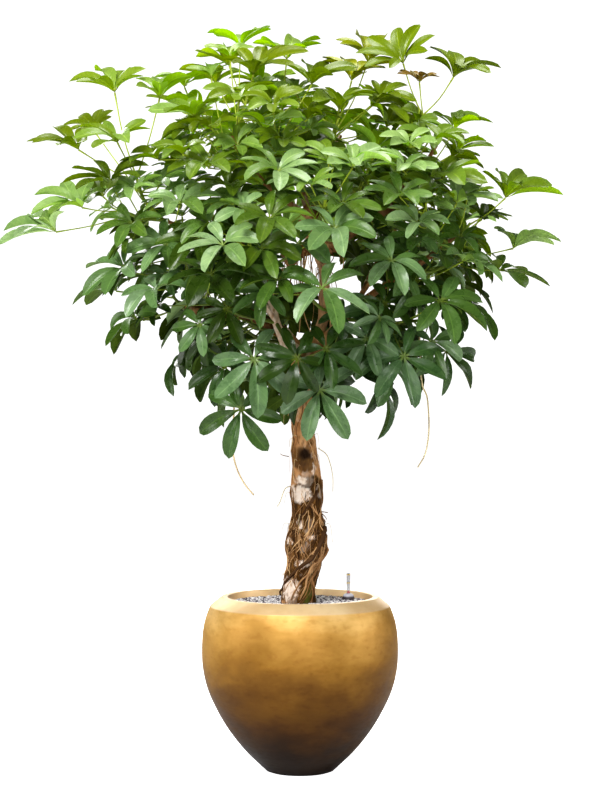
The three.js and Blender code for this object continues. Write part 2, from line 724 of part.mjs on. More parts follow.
function ruleShoots() {
  const { back, backFrom, backTurn, edge, inner, innerFrom, innerTurn, deep } = CROWN;
  return [
    ...Array.from({ length: back }, (_, i) => (
      ruleShoot(i, backFrom + ((i * GOLDEN_TURN) % backTurn), edge, 300 + i)
    )),
    ...Array.from({ length: inner }, (_, i) => (
      ruleShoot(i + 3, innerFrom + (i * innerTurn) / (inner - 1), deep, 400 + i)
    )),
  ];
}

/** Builds every shoot: first all stems, then leaf by leaf. A leaf that finds no room is left out. */
function growShoots() {
  const wanted = [...FRONT_SHOOTS.map((shoot) => ({ ...shoot, front: true })), ...ruleShoots()];
  const shoots = wanted.map((item, index) => {
    const { body, spine } = stemFor(vec(...item.tip), seeded(900 + index));
    keep(body);
    return { ...item, body, spine, index, stem: placed.at(-1) };
  });
  for (const shoot of shoots) {
    const { front, leaves, spine, stem, index } = shoot;
    placed.splice(placed.indexOf(stem), 1);
    const taken = [];
    leaves.forEach(([x, y, z, radius], j) => {
      const hub = vec(x, y, z);
      const frontCount = radius > LEAF.big ? LEAF.bigLeaflets : LEAF.frontLeaflets;
      const leaf = placeLeaf({
        stem: stem.body, roots: stalkRoots(spine, hub, taken), hub, radius,
        seed: 31 * index + j + 1,
        facing: facingAt(hub, front),
        count: front ? frontCount : LEAF.leaflets,
        shift: front ? vec(0, 1, 0) : facingAt(hub),
        level: front ? 0 : CROWN.level,
      });
      if (!leaf) return;
      taken.push(leaf.t);
      keep(leaf.body);
      shoot.body = shoot.body.add(leaf.body);
    });
    placed.push(stem);
  }
  return shoots;
}

// ---------------------------------------------------------------- assembly

const plant = new THREE.Group();

function piece(name, body, colour, roughness, metalness = 0) {
  const material = new THREE.MeshStandardMaterial({ color: colour, roughness, metalness });
  const mesh = new THREE.Mesh(geometryOf(body), material);
  mesh.name = name;
  plant.add(mesh);
}

piece('planter', planter(), COLOURS.planter, 0.38, 1);
piece('substrate', substrate(), COLOURS.substrate, 1);
piece('granulate', granulate(), COLOURS.granulate, 0.9);
piece('gauge_tube', gaugeTube(), COLOURS.clear, 0.15);
piece('gauge_collar', gaugeCollar(), COLOURS.collar, 0.45);
piece('gauge_float', gaugeFloat(), COLOURS.float, 0.5);
piece('trunk', bark, COLOURS.bark, 0.9);

growShoots().forEach(({ body, tip }, i) => {
  const high = THREE.MathUtils.clamp((tip[2] - CROWN.low) / (CROWN.high - CROWN.low), 0, 1);
  const colour = new THREE.Color(COLOURS.lowLeaf).lerp(new THREE.Color(COLOURS.highLeaf), high);
  piece(`shoot_${String(i + 1).padStart(2, '0')}`, body, colour, 0.5);
});

export default plant;
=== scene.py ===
import random
from collections import namedtuple
from math import cos, exp, hypot, pi, radians, sin, sqrt

import bmesh
import bpy
from mathutils import Matrix, Vector, noise
from mathutils.bvhtree import BVHTree


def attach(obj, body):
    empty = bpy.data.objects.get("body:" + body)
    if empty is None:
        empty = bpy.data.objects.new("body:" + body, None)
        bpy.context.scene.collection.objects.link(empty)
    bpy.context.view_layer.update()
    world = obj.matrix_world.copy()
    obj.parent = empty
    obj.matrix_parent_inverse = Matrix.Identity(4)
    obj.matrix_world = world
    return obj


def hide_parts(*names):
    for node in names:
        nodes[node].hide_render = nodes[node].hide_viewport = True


# Looks of the potted umbrella plant. Metres, +Z up, the front looks along -Y.

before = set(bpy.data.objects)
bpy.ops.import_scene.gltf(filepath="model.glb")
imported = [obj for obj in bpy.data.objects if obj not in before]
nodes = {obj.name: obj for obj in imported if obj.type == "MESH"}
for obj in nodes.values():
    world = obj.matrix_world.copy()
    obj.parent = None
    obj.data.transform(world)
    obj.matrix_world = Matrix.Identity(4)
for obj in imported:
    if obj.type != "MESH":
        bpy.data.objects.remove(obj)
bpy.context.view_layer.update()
scene = bpy.context.scene
ops = bmesh.ops
Socket = bpy.types.NodeSocket

SHOOTS = sorted(name for name in nodes if name.startswith("shoot_"))
UP = Vector((0, 0, 1))
GOLDEN = radians(137.508)

# ---- sizes

# outside of the planter, from the foot to the edge of its rim: radius, height
POT_SIDE = [
    (0.101, 0.014), (0.146, 0.058), (0.19, 0.114), (0.225, 0.174), (0.248, 0.23),
    (0.2595, 0.29), (0.2595, 0.356), (0.2525, 0.402), (0.239, 0.441),
]
POT_CAVITY = [(0.249, 0.33), (0.236, 0.23), (0.178, 0.114)]
POT_FOOT, POT_RIM, POT_MOUTH, POT_SHOULDER = 0.078, 0.209, 0.1925, 0.229  # radii
POT_HEIGHT, POT_LIP, POT_FLOOR = 0.466, 0.434, 0.014

STONES = 3300
STONES_TOP = 0.447
STONE_SIZES = (0.0024, 0.0044)
# places that the stones leave free: their middle, and radius
GAUGE_X, GAUGE_Y = 0.13, 0.07
HOLES = [(Vector((-0.0046, 0, 0)), 0.041), (Vector((GAUGE_X, GAUGE_Y, 0)), 0.0165)]

# half sections of the gauge's pieces: radius, height
TUBE_SIDE = [
    (0.0041, 0.3), (0.00525, 0.3), (0.00525, 0.5195), (0.0047, 0.521), (0.0036, 0.522),
    (0.0, 0.522), (0.0, 0.52), (0.0034, 0.5198), (0.0041, 0.519),
]
COLLAR_SIDE = [(0.0056, 0.4495), (0.0165, 0.4495), (0.0165, 0.4525)]
COLLAR_SIDE += [(0.0056 + 0.0105 * cos(a), 0.453 + 0.0135 * sin(a))
                for a in (0.15, 0.45, 0.8, 1.15, 1.5)]
FLOAT_SIDE = [
    (0, 0.305), (0.0034, 0.308), (0.0036, 0.345), (0.0013, 0.348), (0.0013, 0.462),
    (0.0032, 0.464), (0.0036, 0.466), (0.0036, 0.471), (0.003, 0.473), (0, 0.474),
]
GAUGE_MARKS = (0.5165, 0.4945)  # heights of the two lines on the tube
MARK_HALF = 0.0012

# height, and the middle of the trunk in x
TRUNK = [
    (0.392, -0.004), (0.45, -0.0046), (0.516, 0.0037), (0.553, 0.012), (0.59, 0.0163),
    (0.627, 0.0168), (0.664, 0.018), (0.701, 0.017), (0.775, 0.0182), (0.85, 0.0135),
    (0.924, 0.007), (1.04, 0.004), (1.165, 0.05),
]
SKIN_STEP = 0.003  # size of the quads of the bark

# on the bark, from the front: x, z, half width and half height of the pale spots
PALE_SPOTS = [
    (0.0045, 0.741, 0.027, 0.027), (0.003, 0.776, 0.02, 0.016), (-0.001, 0.656, 0.012, 0.015),
    (0.028, 0.627, 0.017, 0.007), (-0.028, 0.614, 0.009, 0.009), (0.004, 0.555, 0.018, 0.011),
    (-0.027, 0.492, 0.024, 0.027), (0.036, 0.805, 0.005, 0.014),
]
KNOT = (0.0105, 0.845)  # x and z of the knot hole

# the thick roots on the trunk: height, turn, turn to each metre down, length, radius
STRANDS = [
    (0.652, -22, -12.6, 0.185, 0.0062), (0.748, -50, -11.0, 0.115, 0.004),
    (0.7, -150, 4.0, 0.1, 0.0028), (0.6, -35, -13.5, 0.14, 0.0034),
    (0.66, 60, -10.0, 0.19, 0.005), (0.72, 140, -9.0, 0.2, 0.0042),
    (0.56, -60, -12.0, 0.1, 0.004), (1.02, -75, 1.6, 0.2, 0.0026),
    (0.99, -110, -1.0, 0.16, 0.0022),
]
LOW_ROOTS, HIGH_ROOTS, FORK_ROOTS, HAIRS = 190, 26, 46, 46  # how many of the thin ones

# roots that hang free: points, radius, and how light they are
HANGING = [
    ([(-0.172, 0.006, 1.222), (-0.172, -0.06, 1.15), (-0.17, -0.11, 1.06),
      (-0.172, -0.12, 0.955), (-0.176, -0.12, 0.9), (-0.174, -0.12, 0.85),
      (-0.162, -0.12, 0.805), (-0.142, -0.118, 0.768), (-0.12, -0.116, 0.742)], 0.0029, 0.93),
    ([(0.3, -0.046, 1.34), (0.306, -0.06, 1.28), (0.312, -0.075, 1.18),
      (0.318, -0.08, 1.04), (0.332, -0.08, 1.000), (0.337, -0.08, 0.95),
      (0.337, -0.08, 0.9), (0.328, -0.08, 0.848), (0.308, -0.08, 0.812)], 0.0027, 1.0),
    ([(0.02, -0.03, 1.38), (0.006, -0.075, 1.3), (0.002, -0.085, 1.22),
      (-0.002, -0.08, 1.165)], 0.0021, 0.75),
    ([(0.012, -0.03, 1.37), (0.006, -0.07, 1.25), (0.022, -0.085, 1.18),
      (0.046, -0.08, 1.145)], 0.002, 0.8),
    ([(0.066, -0.02, 1.34), (0.072, -0.06, 1.27), (0.079, -0.07, 1.2),
      (0.078, -0.065, 1.15)], 0.002, 0.8),
    ([(0.048, -0.012, 0.86), (0.072, -0.02, 0.84), (0.086, -0.024, 0.79),
      (0.087, -0.024, 0.745)], 0.0013, 1.0),
    ([(-0.026, -0.024, 0.76), (-0.04, -0.028, 0.752), (-0.052, -0.03, 0.72),
      (-0.06, -0.03, 0.706)], 0.0013, 1.0),
]
TWIGS = [
    ([(0.045, -0.02, 0.69), (0.06, -0.026, 0.692), (0.074, -0.028, 0.69)], 0.0016, 0.2),
    ([(0.055, -0.024, 0.69), (0.066, -0.03, 0.68), (0.071, -0.034, 0.672)], 0.0013, 0.2),
    ([(0.052, -0.022, 0.678), (0.064, -0.026, 0.672), (0.068, -0.028, 0.664)], 0.0013, 0.2),
    ([(-0.03, -0.02, 0.838), (-0.046, -0.03, 0.842), (-0.052, -0.032, 0.846)], 0.0012, 0.4),
]

# ---- helpers


def mix(a, b, t):
    return a + (b - a) * t


def clamp(value):
    return min(1.0, max(0.0, value))


def soft_step(low, high, value):
    t = clamp((value - low) / (high - low))
    return t * t * (3 - 2 * t)


def round_about(turn):
    """The level direction at a turn."""
    return Vector((cos(turn), sin(turn), 0))


def curve_through(points, steps):
    """Points along a smooth curve that goes through the given ones."""
    rail = [points[0] * 2 - points[1], *points, points[-1] * 2 - points[-2]]
    spans = len(points) - 1
    found = []
    for i in range(steps + 1):
        at = i * spans / steps
        k = min(int(at), spans - 1)
        t = at - k
        a, b, c, d = rail[k:k + 4]
        found.append(0.5 * (2 * b + (c - a) * t + (2 * a - 5 * b + 4 * c - d) * t * t
                            + (3 * b - a - 3 * c + d) * t * t * t))
    return found


def middle_of(points):
    return sum(points, Vector()) / len(points)


def verts_in(items):
    return [item for item in items if isinstance(item, bmesh.types.BMVert)]


def grow_tube(bm, path, radii, sides, finish=0):
    """A round tube along a path, closed at both ends. Returns its vertices."""
    count = len(path)
    made = ops.create_cone(bm, cap_ends=True, segments=sides, radius1=1, radius2=1,
                           depth=1)["verts"]
    uprights = {e for v in made for e in v.link_edges
                if abs(e.verts[0].co.z - e.verts[1].co.z) > 0.5}
    cut = ops.subdivide_edges(bm, edges=list(uprights), cuts=count - 2)
    inner = verts_in(cut["geom_inner"])
    made = set(inner) | {e.other_vert(v) for v in inner for e in v.link_edges}
    frames = []
    side = None
    for i in range(count):
        way = (path[min(i + 1, count - 1)] - path[max(i - 1, 0)]).normalized()
        side = way.orthogonal() if side is None else side - way * side.dot(way)
        side.normalize()
        frames.append((side.copy(), way.cross(side)))
    for vert in made:
        i = round((vert.co.z + 0.5) * (count - 1))
        across, up = frames[i]
        vert.co = path[i] + (across * vert.co.x + up * vert.co.y) * radii[i]
    for face in {f for v in made for f in v.link_faces}:
        face.material_index = finish
        face.smooth = len(face.verts) == 4
    return made


def spin(bm, profile, x, y, steps, closed):
    """A half section, turned round an upright axis."""
    verts = [bm.verts.new((x + r, y, z)) for r, z in profile]
    edges = [bm.edges.new(pair) for pair in zip(verts, verts[1:] + verts[:closed])]
    ops.spin(bm, geom=verts + edges, cent=(x, y, 0), axis=(0, 0, 1), angle=2 * pi,
             steps=steps, use_merge=True)
    ops.remove_doubles(bm, verts=bm.verts, dist=1e-6)


def smooth(bm, crease=4.0):
    """Smooth shading, but for edges that turn by more than the crease, in radians."""
    for face in bm.faces:
        face.smooth = True
    for edge in bm.edges:
        if edge.calc_face_angle(0) > crease:
            edge.smooth = False


def mesh_from(name, bm):
    """The body's mesh; the body itself is let go."""
    mesh = bpy.data.meshes.new(name)
    bm.to_mesh(mesh)
    bm.free()
    return mesh


def add(name, data):
    thing = bpy.data.objects.new(name, data)
    scene.collection.objects.link(thing)
    return thing


def piece(name, bm, finishes, slot, *replaced):
    """Makes an object of the body's mesh, on the plant, in place of CAD nodes."""
    mesh = mesh_from(name, bm)
    thing = add(name, mesh)
    for finish in finishes:
        mesh.materials.append(finish)
    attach(thing, "root")
    if replaced:
        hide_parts(*replaced)


def merged_copy(node):
    """A CAD node's mesh with its loose triangles joined."""
    bm = bmesh.new()
    bm.from_mesh(nodes[node].data)
    ops.remove_doubles(bm, verts=bm.verts, dist=1e-5)
    return bm


# ---- shader helpers


def place(tree, kind, inputs=None, **settings):
    """A shader node; each input gets a value, or the output that feeds it."""
    item = tree.nodes.new("ShaderNode" + kind)
    for key, value in settings.items():
        setattr(item, key, value)
    for key, value in (inputs or {}).items():
        socket = item.inputs[key]
        if isinstance(value, Socket):
            tree.links.new(value, socket)
        else:
            socket.default_value = value
    return item


def ramp(factor, stops):
    item = place(factor.id_data, "ValToRGB", {0: factor})
    marks = item.color_ramp.elements
    while len(marks) < len(stops):
        marks.new(0.5)
    for mark, (at, colour) in zip(marks, stops):
        mark.position = at
        mark.color = (*colour, 1)
    return item.outputs[0]


def span(value, low, high, to_low=0.0, to_high=1.0, kind="SMOOTHSTEP"):
    """A value taken from one range to another."""
    inputs = {0: value, 1: low, 2: high, 3: to_low, 4: to_high}
    return place(value.id_data, "MapRange", inputs, interpolation_type=kind).outputs[0]


def wander(source, low, high):
    """A value between two, by a noise."""
    return span(source, 0.3, 0.7, low, high)


def blend(factor, a, b, kind="MIX"):
    a, b = ((*value, 1) if isinstance(value, tuple) else value for value in (a, b))
    inputs = {0: factor, 6: a, 7: b}
    return place(factor.id_data, "Mix", inputs, data_type="RGBA", blend_type=kind).outputs[2]


def maths(kind, a, b=0.0):
    tree = next(v.id_data for v in (a, b) if isinstance(v, Socket))
    return place(tree, "Math", {0: a, 1: b}, operation=kind).outputs[0]


def plus(a, b):
    return maths("ADD", a, b)


def minus(a, b):
    return maths("SUBTRACT", a, b)


def times(a, b):
    return maths("MULTIPLY", a, b)


def attribute(tree, name):
    return place(tree, "Attribute", attribute_name=name).outputs["Fac"]


def height_in(tree):
    coords = place(tree, "TexCoord").outputs["Object"]
    return place(tree, "SeparateXYZ", {0: coords}).outputs[2]


def new_finish(name, **values):
    """A material with one Principled shader; the values are the same all over the surface."""
    finish = bpy.data.materials.new(name)
    finish.use_nodes = True
    tree = finish.node_tree
    tree.nodes.clear()
    values = {key.replace("_", " "): value for key, value in values.items()}
    shader = place(tree, "BsdfPrincipled", values)
    place(tree, "OutputMaterial", {"Surface": shader.outputs[0]})
    return finish, tree


def feed(finish, **outputs):
    """Lets outputs vary the inputs of a material's shader."""
    tree = finish.node_tree
    shader = next(item for item in tree.nodes if item.type == "BSDF_PRINCIPLED")
    for key, value in outputs.items():
        tree.links.new(value, shader.inputs[key.replace("_", " ")])
    return finish


def cover(finish, colour, roughness, height, strength, distance):
    """Ends a material with its colour, roughness and bump."""
    bump = place(finish.node_tree, "Bump",
                 {"Height": height, "Strength": strength, "Distance": distance})
    return feed(finish, Base_Color=colour, Roughness=roughness, Normal=bump.outputs[0])


def new_group(name, **inputs):
    group = bpy.data.node_groups.new(name, "ShaderNodeTree")
    for label, value in inputs.items():
        kind = "NodeSocketVector" if isinstance(value, tuple) else "NodeSocketFloat"
        given = group.interface.new_socket(label, in_out="INPUT", socket_type=kind)
        given.default_value = value
    return group, group.nodes.new("NodeGroupInput").outputs


def give_out(group, **values):
    """Ends a group with its outputs."""
    for label in values:
        group.interface.new_socket(label, in_out="OUTPUT", socket_type="NodeSocketFloat")
    out = group.nodes.new("NodeGroupOutput")
    for label, value in values.items():
        group.links.new(value, out.inputs[label])
    return group


def build_mottle():
    """Cloudy variation of a surface, coarse and fine, on the object's own coordinates."""
    group, given = new_group("Mottle", Scale=20.0, Stretch=(1, 1, 1), Fine=6.0)
    coords = place(group, "TexCoord").outputs["Object"]
    stretched = place(group, "VectorMath", {0: coords, 1: given["Stretch"]},
                      operation="MULTIPLY").outputs[0]
    cloud = place(group, "TexNoise", {"Vector": stretched, "Scale": given["Scale"],
                                      "Detail": 4.0, "Roughness": 0.55})
    fine_scale = times(given["Scale"], given["Fine"])
    grain = place(group, "TexNoise", {"Vector": stretched, "Scale": fine_scale, "Detail": 3.0})
    return give_out(group, Cloud=cloud.outputs[0], Grain=grain.outputs[0])


def build_veins():
    """Midrib, side veins and foot of a leaflet, from its map: x across it, y along it."""
    group, _ = new_group("LeafVeins")
    split = place(group, "SeparateXYZ", {0: place(group, "UVMap", uv_map="UVMap").outputs[0]})
    x, y = split.outputs[0], split.outputs[1]
    aside = maths("ABSOLUTE", minus(x, 0.5))
    slant = minus(times(y, 9.0), times(aside, 3.4))
    wave = maths("ABSOLUTE", minus(maths("FRACT", slant), 0.5))
    return give_out(group, Midrib=span(aside, 0.012, 0.05, 1.0, 0.0),
                    Veins=span(wave, 0.0, 0.12, 1.0, 0.0), Foot=span(y, 0.06, 0.15, 1.0, 0.0))


MOTTLE = build_mottle()
VEINS = build_veins()


def mottle(tree, scale, fine, stretch=(1, 1, 1)):
    item = place(tree, "Group", {"Scale": scale, "Fine": fine, "Stretch": stretch},
                 node_tree=MOTTLE)
    return item.outputs["Cloud"], item.outputs["Grain"]


# ---- finishes


def blade_finish(name, stops, roughness, specular, sheen, painted_sheen_high, veins_bump):
    """Leaf skin with painted light and shade: its green is dark deep and low in the crown and
    light at the top, partly the darker green of older leaves. Each leaf has its own tone.
    """
    finish, tree = new_finish(
        name, Specular_IOR_Level=specular, Sheen_Weight=sheen, Sheen_Roughness=0.35,
        Sheen_Tint=(0.75, 1.0, 0.55, 1.0))
    sun, tone, young = (attribute(tree, key) for key in ("sun", "tone", "young"))
    midrib, veins, foot = place(tree, "Group", node_tree=VEINS).outputs
    cloud, grain = mottle(tree, 38, 7)
    # painted light and shade: the green runs from dark, deep in the crown, to light at the top
    green = ramp(plus(sun, wander(cloud, -0.06, 0.06)), stops)
    # painted sheen: leaves of high tone lose saturation and turn grey-green, most of all low in
    # the crown
    painted_sheen = times(times(tone, tone), span(sun, 0.3, 0.9, 0.46, painted_sheen_high))
    # darker still in painted shade; leaves of high tone much brighter low in the crown, partly
    # their own random tone, partly a painted highlight
    least = span(sun, 0.3, 0.9, 0.5, 0.82)
    most = maths("POWER", span(sun, 0.3, 0.9, 4.8, 2.3), tone)
    shade = place(tree, "HueSaturation", {
        "Hue": span(tone, 0.0, 1.0, 0.488, 0.512), "Saturation": minus(1.04, painted_sheen),
        "Value": times(least, most), "Color": green}).outputs[0]
    fresh = ramp(young, [(0.2, (0.15, 0.22, 0.002)), (0.5, (0.31, 0.34, 0.003)),
                         (1.0, (0.26, 0.165, 0.03))])
    shade = blend(span(young, 0.0, 0.2), shade, fresh)
    rib = place(tree, "HueSaturation", {"Hue": 0.49, "Value": 1.9, "Color": shade}).outputs[0]
    lined = blend(times(veins, 0.18), shade, rib)
    ribbed = blend(times(midrib, 0.55), lined, rib)
    # the pale foot of a leaflet shows less where painted shade falls
    footed = blend(times(foot, span(sun, 0.1, 0.9, 0.28, 0.8)), ribbed, (0.3, 0.36, 0.04))
    height = plus(times(midrib, veins_bump), times(veins, veins_bump * 0.35))
    height = plus(height, times(grain, 0.12))
    gloss = wander(cloud, roughness - 0.05, roughness + 0.07)
    return cover(finish, footed, gloss, height, 0.35, 0.0008)


def stalk_finish():
    finish, tree = new_finish("LeafStalk", Specular_IOR_Level=0.3)
    cloud, grain = mottle(tree, 60, 5, (1, 1, 0.4))
    # painted light and shade: stalks are dark deep in the crown and light at the top
    green = ramp(attribute(tree, "sun"), [
        (0.0, (0.085, 0.125, 0.022)), (0.35, (0.21, 0.29, 0.03)), (0.7, (0.36, 0.46, 0.035)),
        (1.0, (0.46, 0.56, 0.05))])
    streaked = blend(span(cloud, 0.5, 0.72, 0.0, 0.5), green, (0.16, 0.13, 0.035))
    return cover(finish, streaked, wander(grain, 0.38, 0.55), grain, 0.2, 0.0005)


def bark_finish():
    finish, tree = new_finish("Bark", Specular_IOR_Level=0.12)
    cloud, grain = mottle(tree, 26, 5, (1, 1, 0.55))
    fine_cloud, fine_grain = mottle(tree, 120, 4, (1, 1, 0.3))
    tan = ramp(cloud, [(0.25, (0.21, 0.097, 0.034)), (0.45, (0.46, 0.235, 0.097)),
                       (0.62, (0.64, 0.37, 0.18)), (0.8, (0.75, 0.49, 0.28))])
    tan = blend(span(fine_cloud, 0.45, 0.7, 0.0, 0.6), tan, (0.12, 0.055, 0.025))
    dark = ramp(fine_cloud, [(0.3, (0.018, 0.008, 0.003)), (0.55, (0.088, 0.04, 0.009)),
                             (0.8, (0.36, 0.18, 0.055))])
    pale = ramp(grain, [(0.3, (0.5, 0.34, 0.23)), (0.48, (0.76, 0.62, 0.51)),
                        (0.8, (0.86, 0.79, 0.72))])
    colour = tan
    # the knot hole is painted near-black: painted shade deep in it
    for key, over in (("fibrous", dark), ("pale", pale), ("moss", (0.1, 0.125, 0.02)),
                      ("hollow_shade", (0.022, 0.01, 0.004))):
        colour = blend(attribute(tree, key), colour, over)
    height = plus(fine_cloud, times(fine_grain, 0.5))
    return cover(finish, colour, wander(fine_cloud, 0.75, 0.95), height, 0.55, 0.002)


def root_finish():
    finish, tree = new_finish("HangingRoot", Specular_IOR_Level=0.12)
    cloud, grain = mottle(tree, 45, 6, (1, 1, 0.35))
    brown = ramp(attribute(tree, "tone"), [
        (0.0, (0.05, 0.024, 0.01)), (0.4, (0.29, 0.145, 0.056)), (0.8, (0.64, 0.4, 0.2)),
        (1.0, (0.74, 0.62, 0.36))])
    spotted = blend(span(cloud, 0.45, 0.7, 0.0, 0.45), brown, (0.12, 0.06, 0.025))
    return cover(finish, spotted, wander(grain, 0.6, 0.85), grain, 0.4, 0.001)


def metal_finish():
    """Gold leaf that darkens to brown at the foot, cloudy, under a satin lacquer."""
    finish, tree = new_finish("GoldPatina", Metallic=0.4, Specular_IOR_Level=0.3,
                              Coat_Weight=0.03, Coat_Roughness=0.3)
    z = height_in(tree)
    cloud, grain = mottle(tree, 6, 7, (1, 1, 1.7))
    brushed, brushed_grain = mottle(tree, 14, 5, (0.7, 0.7, 2.6))
    moved = plus(z, span(cloud, 0.25, 0.75, -0.035, 0.035))
    colour = ramp(span(moved, 0.0, 0.47, kind="LINEAR"), [
        (0.0, (0.015, 0.007, 0.003)), (0.13, (0.028, 0.013, 0.005)), (0.3, (0.088, 0.037, 0.006)),
        (0.48, (0.16, 0.073, 0.009)), (0.66, (0.335, 0.172, 0.026)), (0.84, (0.56, 0.32, 0.078)),
        (0.93, (0.74, 0.47, 0.16)), (1.0, (0.84, 0.58, 0.25))])
    for source, low, high, first, last, stain in (
            (cloud, 0.35, 0.7, 0.45, 0.0, (0.66, 0.56, 0.36)),
            (grain, 0.5, 0.75, 0.0, 0.3, (0.6, 0.44, 0.22)),
            (brushed, 0.5, 0.8, 0.0, 0.16, (0.62, 0.48, 0.25))):
        share = span(source, low, high, first, last)
        colour = blend(share, colour, stain, "MULTIPLY")
    # the brim is paler: partly its own pale finish, partly a painted highlight where the rounded
    # lip catches the light
    pale = blend(wander(cloud, 0.0, 1.0), (0.9, 0.64, 0.36), (1.0, 0.8, 0.54))
    pale_brim_and_highlight = blend(span(z, 0.4385, 0.4425, 0.0, 0.65), colour, pale)
    rough = plus(wander(cloud, 0.46, 0.58), wander(brushed_grain, -0.03, 0.04))
    return cover(finish, pale_brim_and_highlight, rough, grain, 0.06, 0.0006)


def stone_finish():
    finish, tree = new_finish("Granulate", Specular_IOR_Level=0.35)
    cloud, grain = mottle(tree, 160, 4)
    grey = ramp(attribute(tree, "tint"), [
        (0.0, (0.04, 0.034, 0.036)), (0.2, (0.13, 0.115, 0.13)), (0.4, (0.46, 0.43, 0.45)),
        (0.6, (0.82, 0.79, 0.79)), (1.0, (1.0, 0.98, 0.95))])
    veined = blend(span(cloud, 0.4, 0.7, 0.0, 0.35), grey, (0.3, 0.27, 0.3))
    return cover(finish, veined, wander(grain, 0.7, 0.9), grain, 0.4, 0.0006)


def soil_finish():
    finish, tree = new_finish("Soil", Specular_IOR_Level=0.2)
    cloud, grain = mottle(tree, 90, 4)
    brown = ramp(cloud, [(0.3, (0.018, 0.01, 0.007)), (0.55, (0.055, 0.032, 0.02)),
                         (0.8, (0.12, 0.075, 0.05))])
    return cover(finish, brown, wander(grain, 0.85, 0.98), cloud, 0.8, 0.003)


def clear_finish():
    """Clear plastic, with the two marks of the water level printed round it."""
    finish, tree = new_finish("ClearTube", IOR=1.3)
    cloud, grain = mottle(tree, 60, 5)
    z = height_in(tree)
    colour = ramp(cloud, [(0.3, (0.52, 0.52, 0.54)), (0.7, (0.58, 0.58, 0.6))])
    high, low = (maths("LESS_THAN", maths("ABSOLUTE", minus(z, at)), MARK_HALF)
                 for at in GAUGE_MARKS)
    marked = maths("MAXIMUM", high, low)
    colour = blend(marked, colour, (0.75, 0.5, 0.03))
    haze = span(z, 0.4735, 0.477, 0.14, 0.42)
    solid = maths("MAXIMUM", haze, times(marked, 0.6))
    feed(finish, Alpha=solid)
    return cover(finish, colour, wander(grain, 0.22, 0.34), grain, 0.05, 0.0004)


def plastic_finish(name, colour, spread, roughness, crown=None):
    """Coloured plastic. Where a crown colour is given, it takes over towards the top of the dome
    as painted light, and the dark colour below stands for painted shade.
    """
    finish, tree = new_finish(name)
    cloud, grain = mottle(tree, 140, 5)
    tinted = ramp(cloud, [(0.3, tuple(c * (1 - spread) for c in colour)),
                          (0.7, tuple(c * (1 + spread) for c in colour))])
    if crown:
        # painted light: the dome turns to the pale crown colour towards its top
        tinted = blend(span(height_in(tree), 0.456, 0.4615), tinted, crown)
    rough = wander(grain, roughness - 0.05, roughness + 0.06)
    return cover(finish, tinted, rough, grain, 0.12, 0.0003)


# greens from painted shade to painted light, partly the darker green of older leaves low in the
# crown
BLADE_TOP = blade_finish("BladeTop", [
    (0.0, (0.022, 0.06, 0.008)), (0.3, (0.056, 0.12, 0.012)), (0.55, (0.102, 0.176, 0.013)),
    (0.8, (0.14, 0.22, 0.012)), (1.0, (0.165, 0.245, 0.01)),
], roughness=0.29, specular=0.35, sheen=0.18, painted_sheen_high=0.28, veins_bump=1.0)
# the undersides high in the crown are painted bright lime: painted light shining through the
# leaves
BLADE_UNDER = blade_finish("BladeUnderside", [
    (0.0, (0.05, 0.095, 0.01)), (0.3, (0.105, 0.18, 0.012)), (0.55, (0.2, 0.33, 0.008)),
    (0.8, (0.26, 0.41, 0.003)), (1.0, (0.31, 0.47, 0.002)),
], roughness=0.6, specular=0.1, sheen=0.0, painted_sheen_high=0.0, veins_bump=0.6)
STALK = stalk_finish()
BARK = bark_finish()
ROOT = root_finish()
METAL = metal_finish()
GRANULATE = stone_finish()
SOIL = soil_finish()
CLEAR = clear_finish()
# the collar is painted light on the top of its dome and dark below as painted shade at its rim
COLLAR = plastic_finish("CollarPlastic", (0.055, 0.042, 0.05), 0.2, 0.42, (0.56, 0.55, 0.62))
FLOAT = plastic_finish("FloatPlastic", (0.62, 0.035, 0.02), 0.15, 0.38)

# ---- leaves

# leaves that are still young: x and z of their hubs, and how young
YOUNG = [(0.31, 1.815, 1.0), (0.135, 1.825, 0.5), (0.18, 1.885, 0.4), (0.268, 1.867, 0.2),
         (0.405, 1.84, 0.2)]

Leaf = namedtuple("Leaf", "hub up leaflets root")  # a leaflet: left edge, tip, right edge
# the first mark is the painted light and shade of a leaf, from 0, in deep painted shade, to 1, in
# painted light at the top
Marks = namedtuple("Marks", "sun tone young")
NOTCH, NOTCH_PLAY = 0.0093, 0.0009  # from a hub to the notches round it, in the solids
HUB_RISE = 0.0009  # how far a hub stands over its leaf there

# places of a blade's cross lines, from its foot to its tip
BLADE_ROWS = (0.0, 0.1, 0.18, 0.3, 0.43, 0.56, 0.69, 0.81, 0.92, 1.0)
BLADE_FOOT = 0.07  # length of the little stalk, to the whole
WIDTH = 0.94  # width of the blade, to that of the solid
STALK_RADII = [0.0028, 0.002, 0.0017, 0.0016, 0.0016, 0.0018, 0.0026]
STEM_STEPS = 24

INNER_LEAVES = 6  # leaves added inside the crown on each shoot, where there is room
TRIES = 40  # for each of them
NEAR = 0.3  # between the hubs of two leaves that could meet


def blade_width(t):
    """Half of a leaflet's width along it, to its widest."""
    if t <= BLADE_FOOT:
        return 0.09
    along = (t - BLADE_FOOT) / (1 - BLADE_FOOT)
    return max(0.09 * (1 - along), along ** 0.78 * (1 - along) ** 0.58 / 0.395)


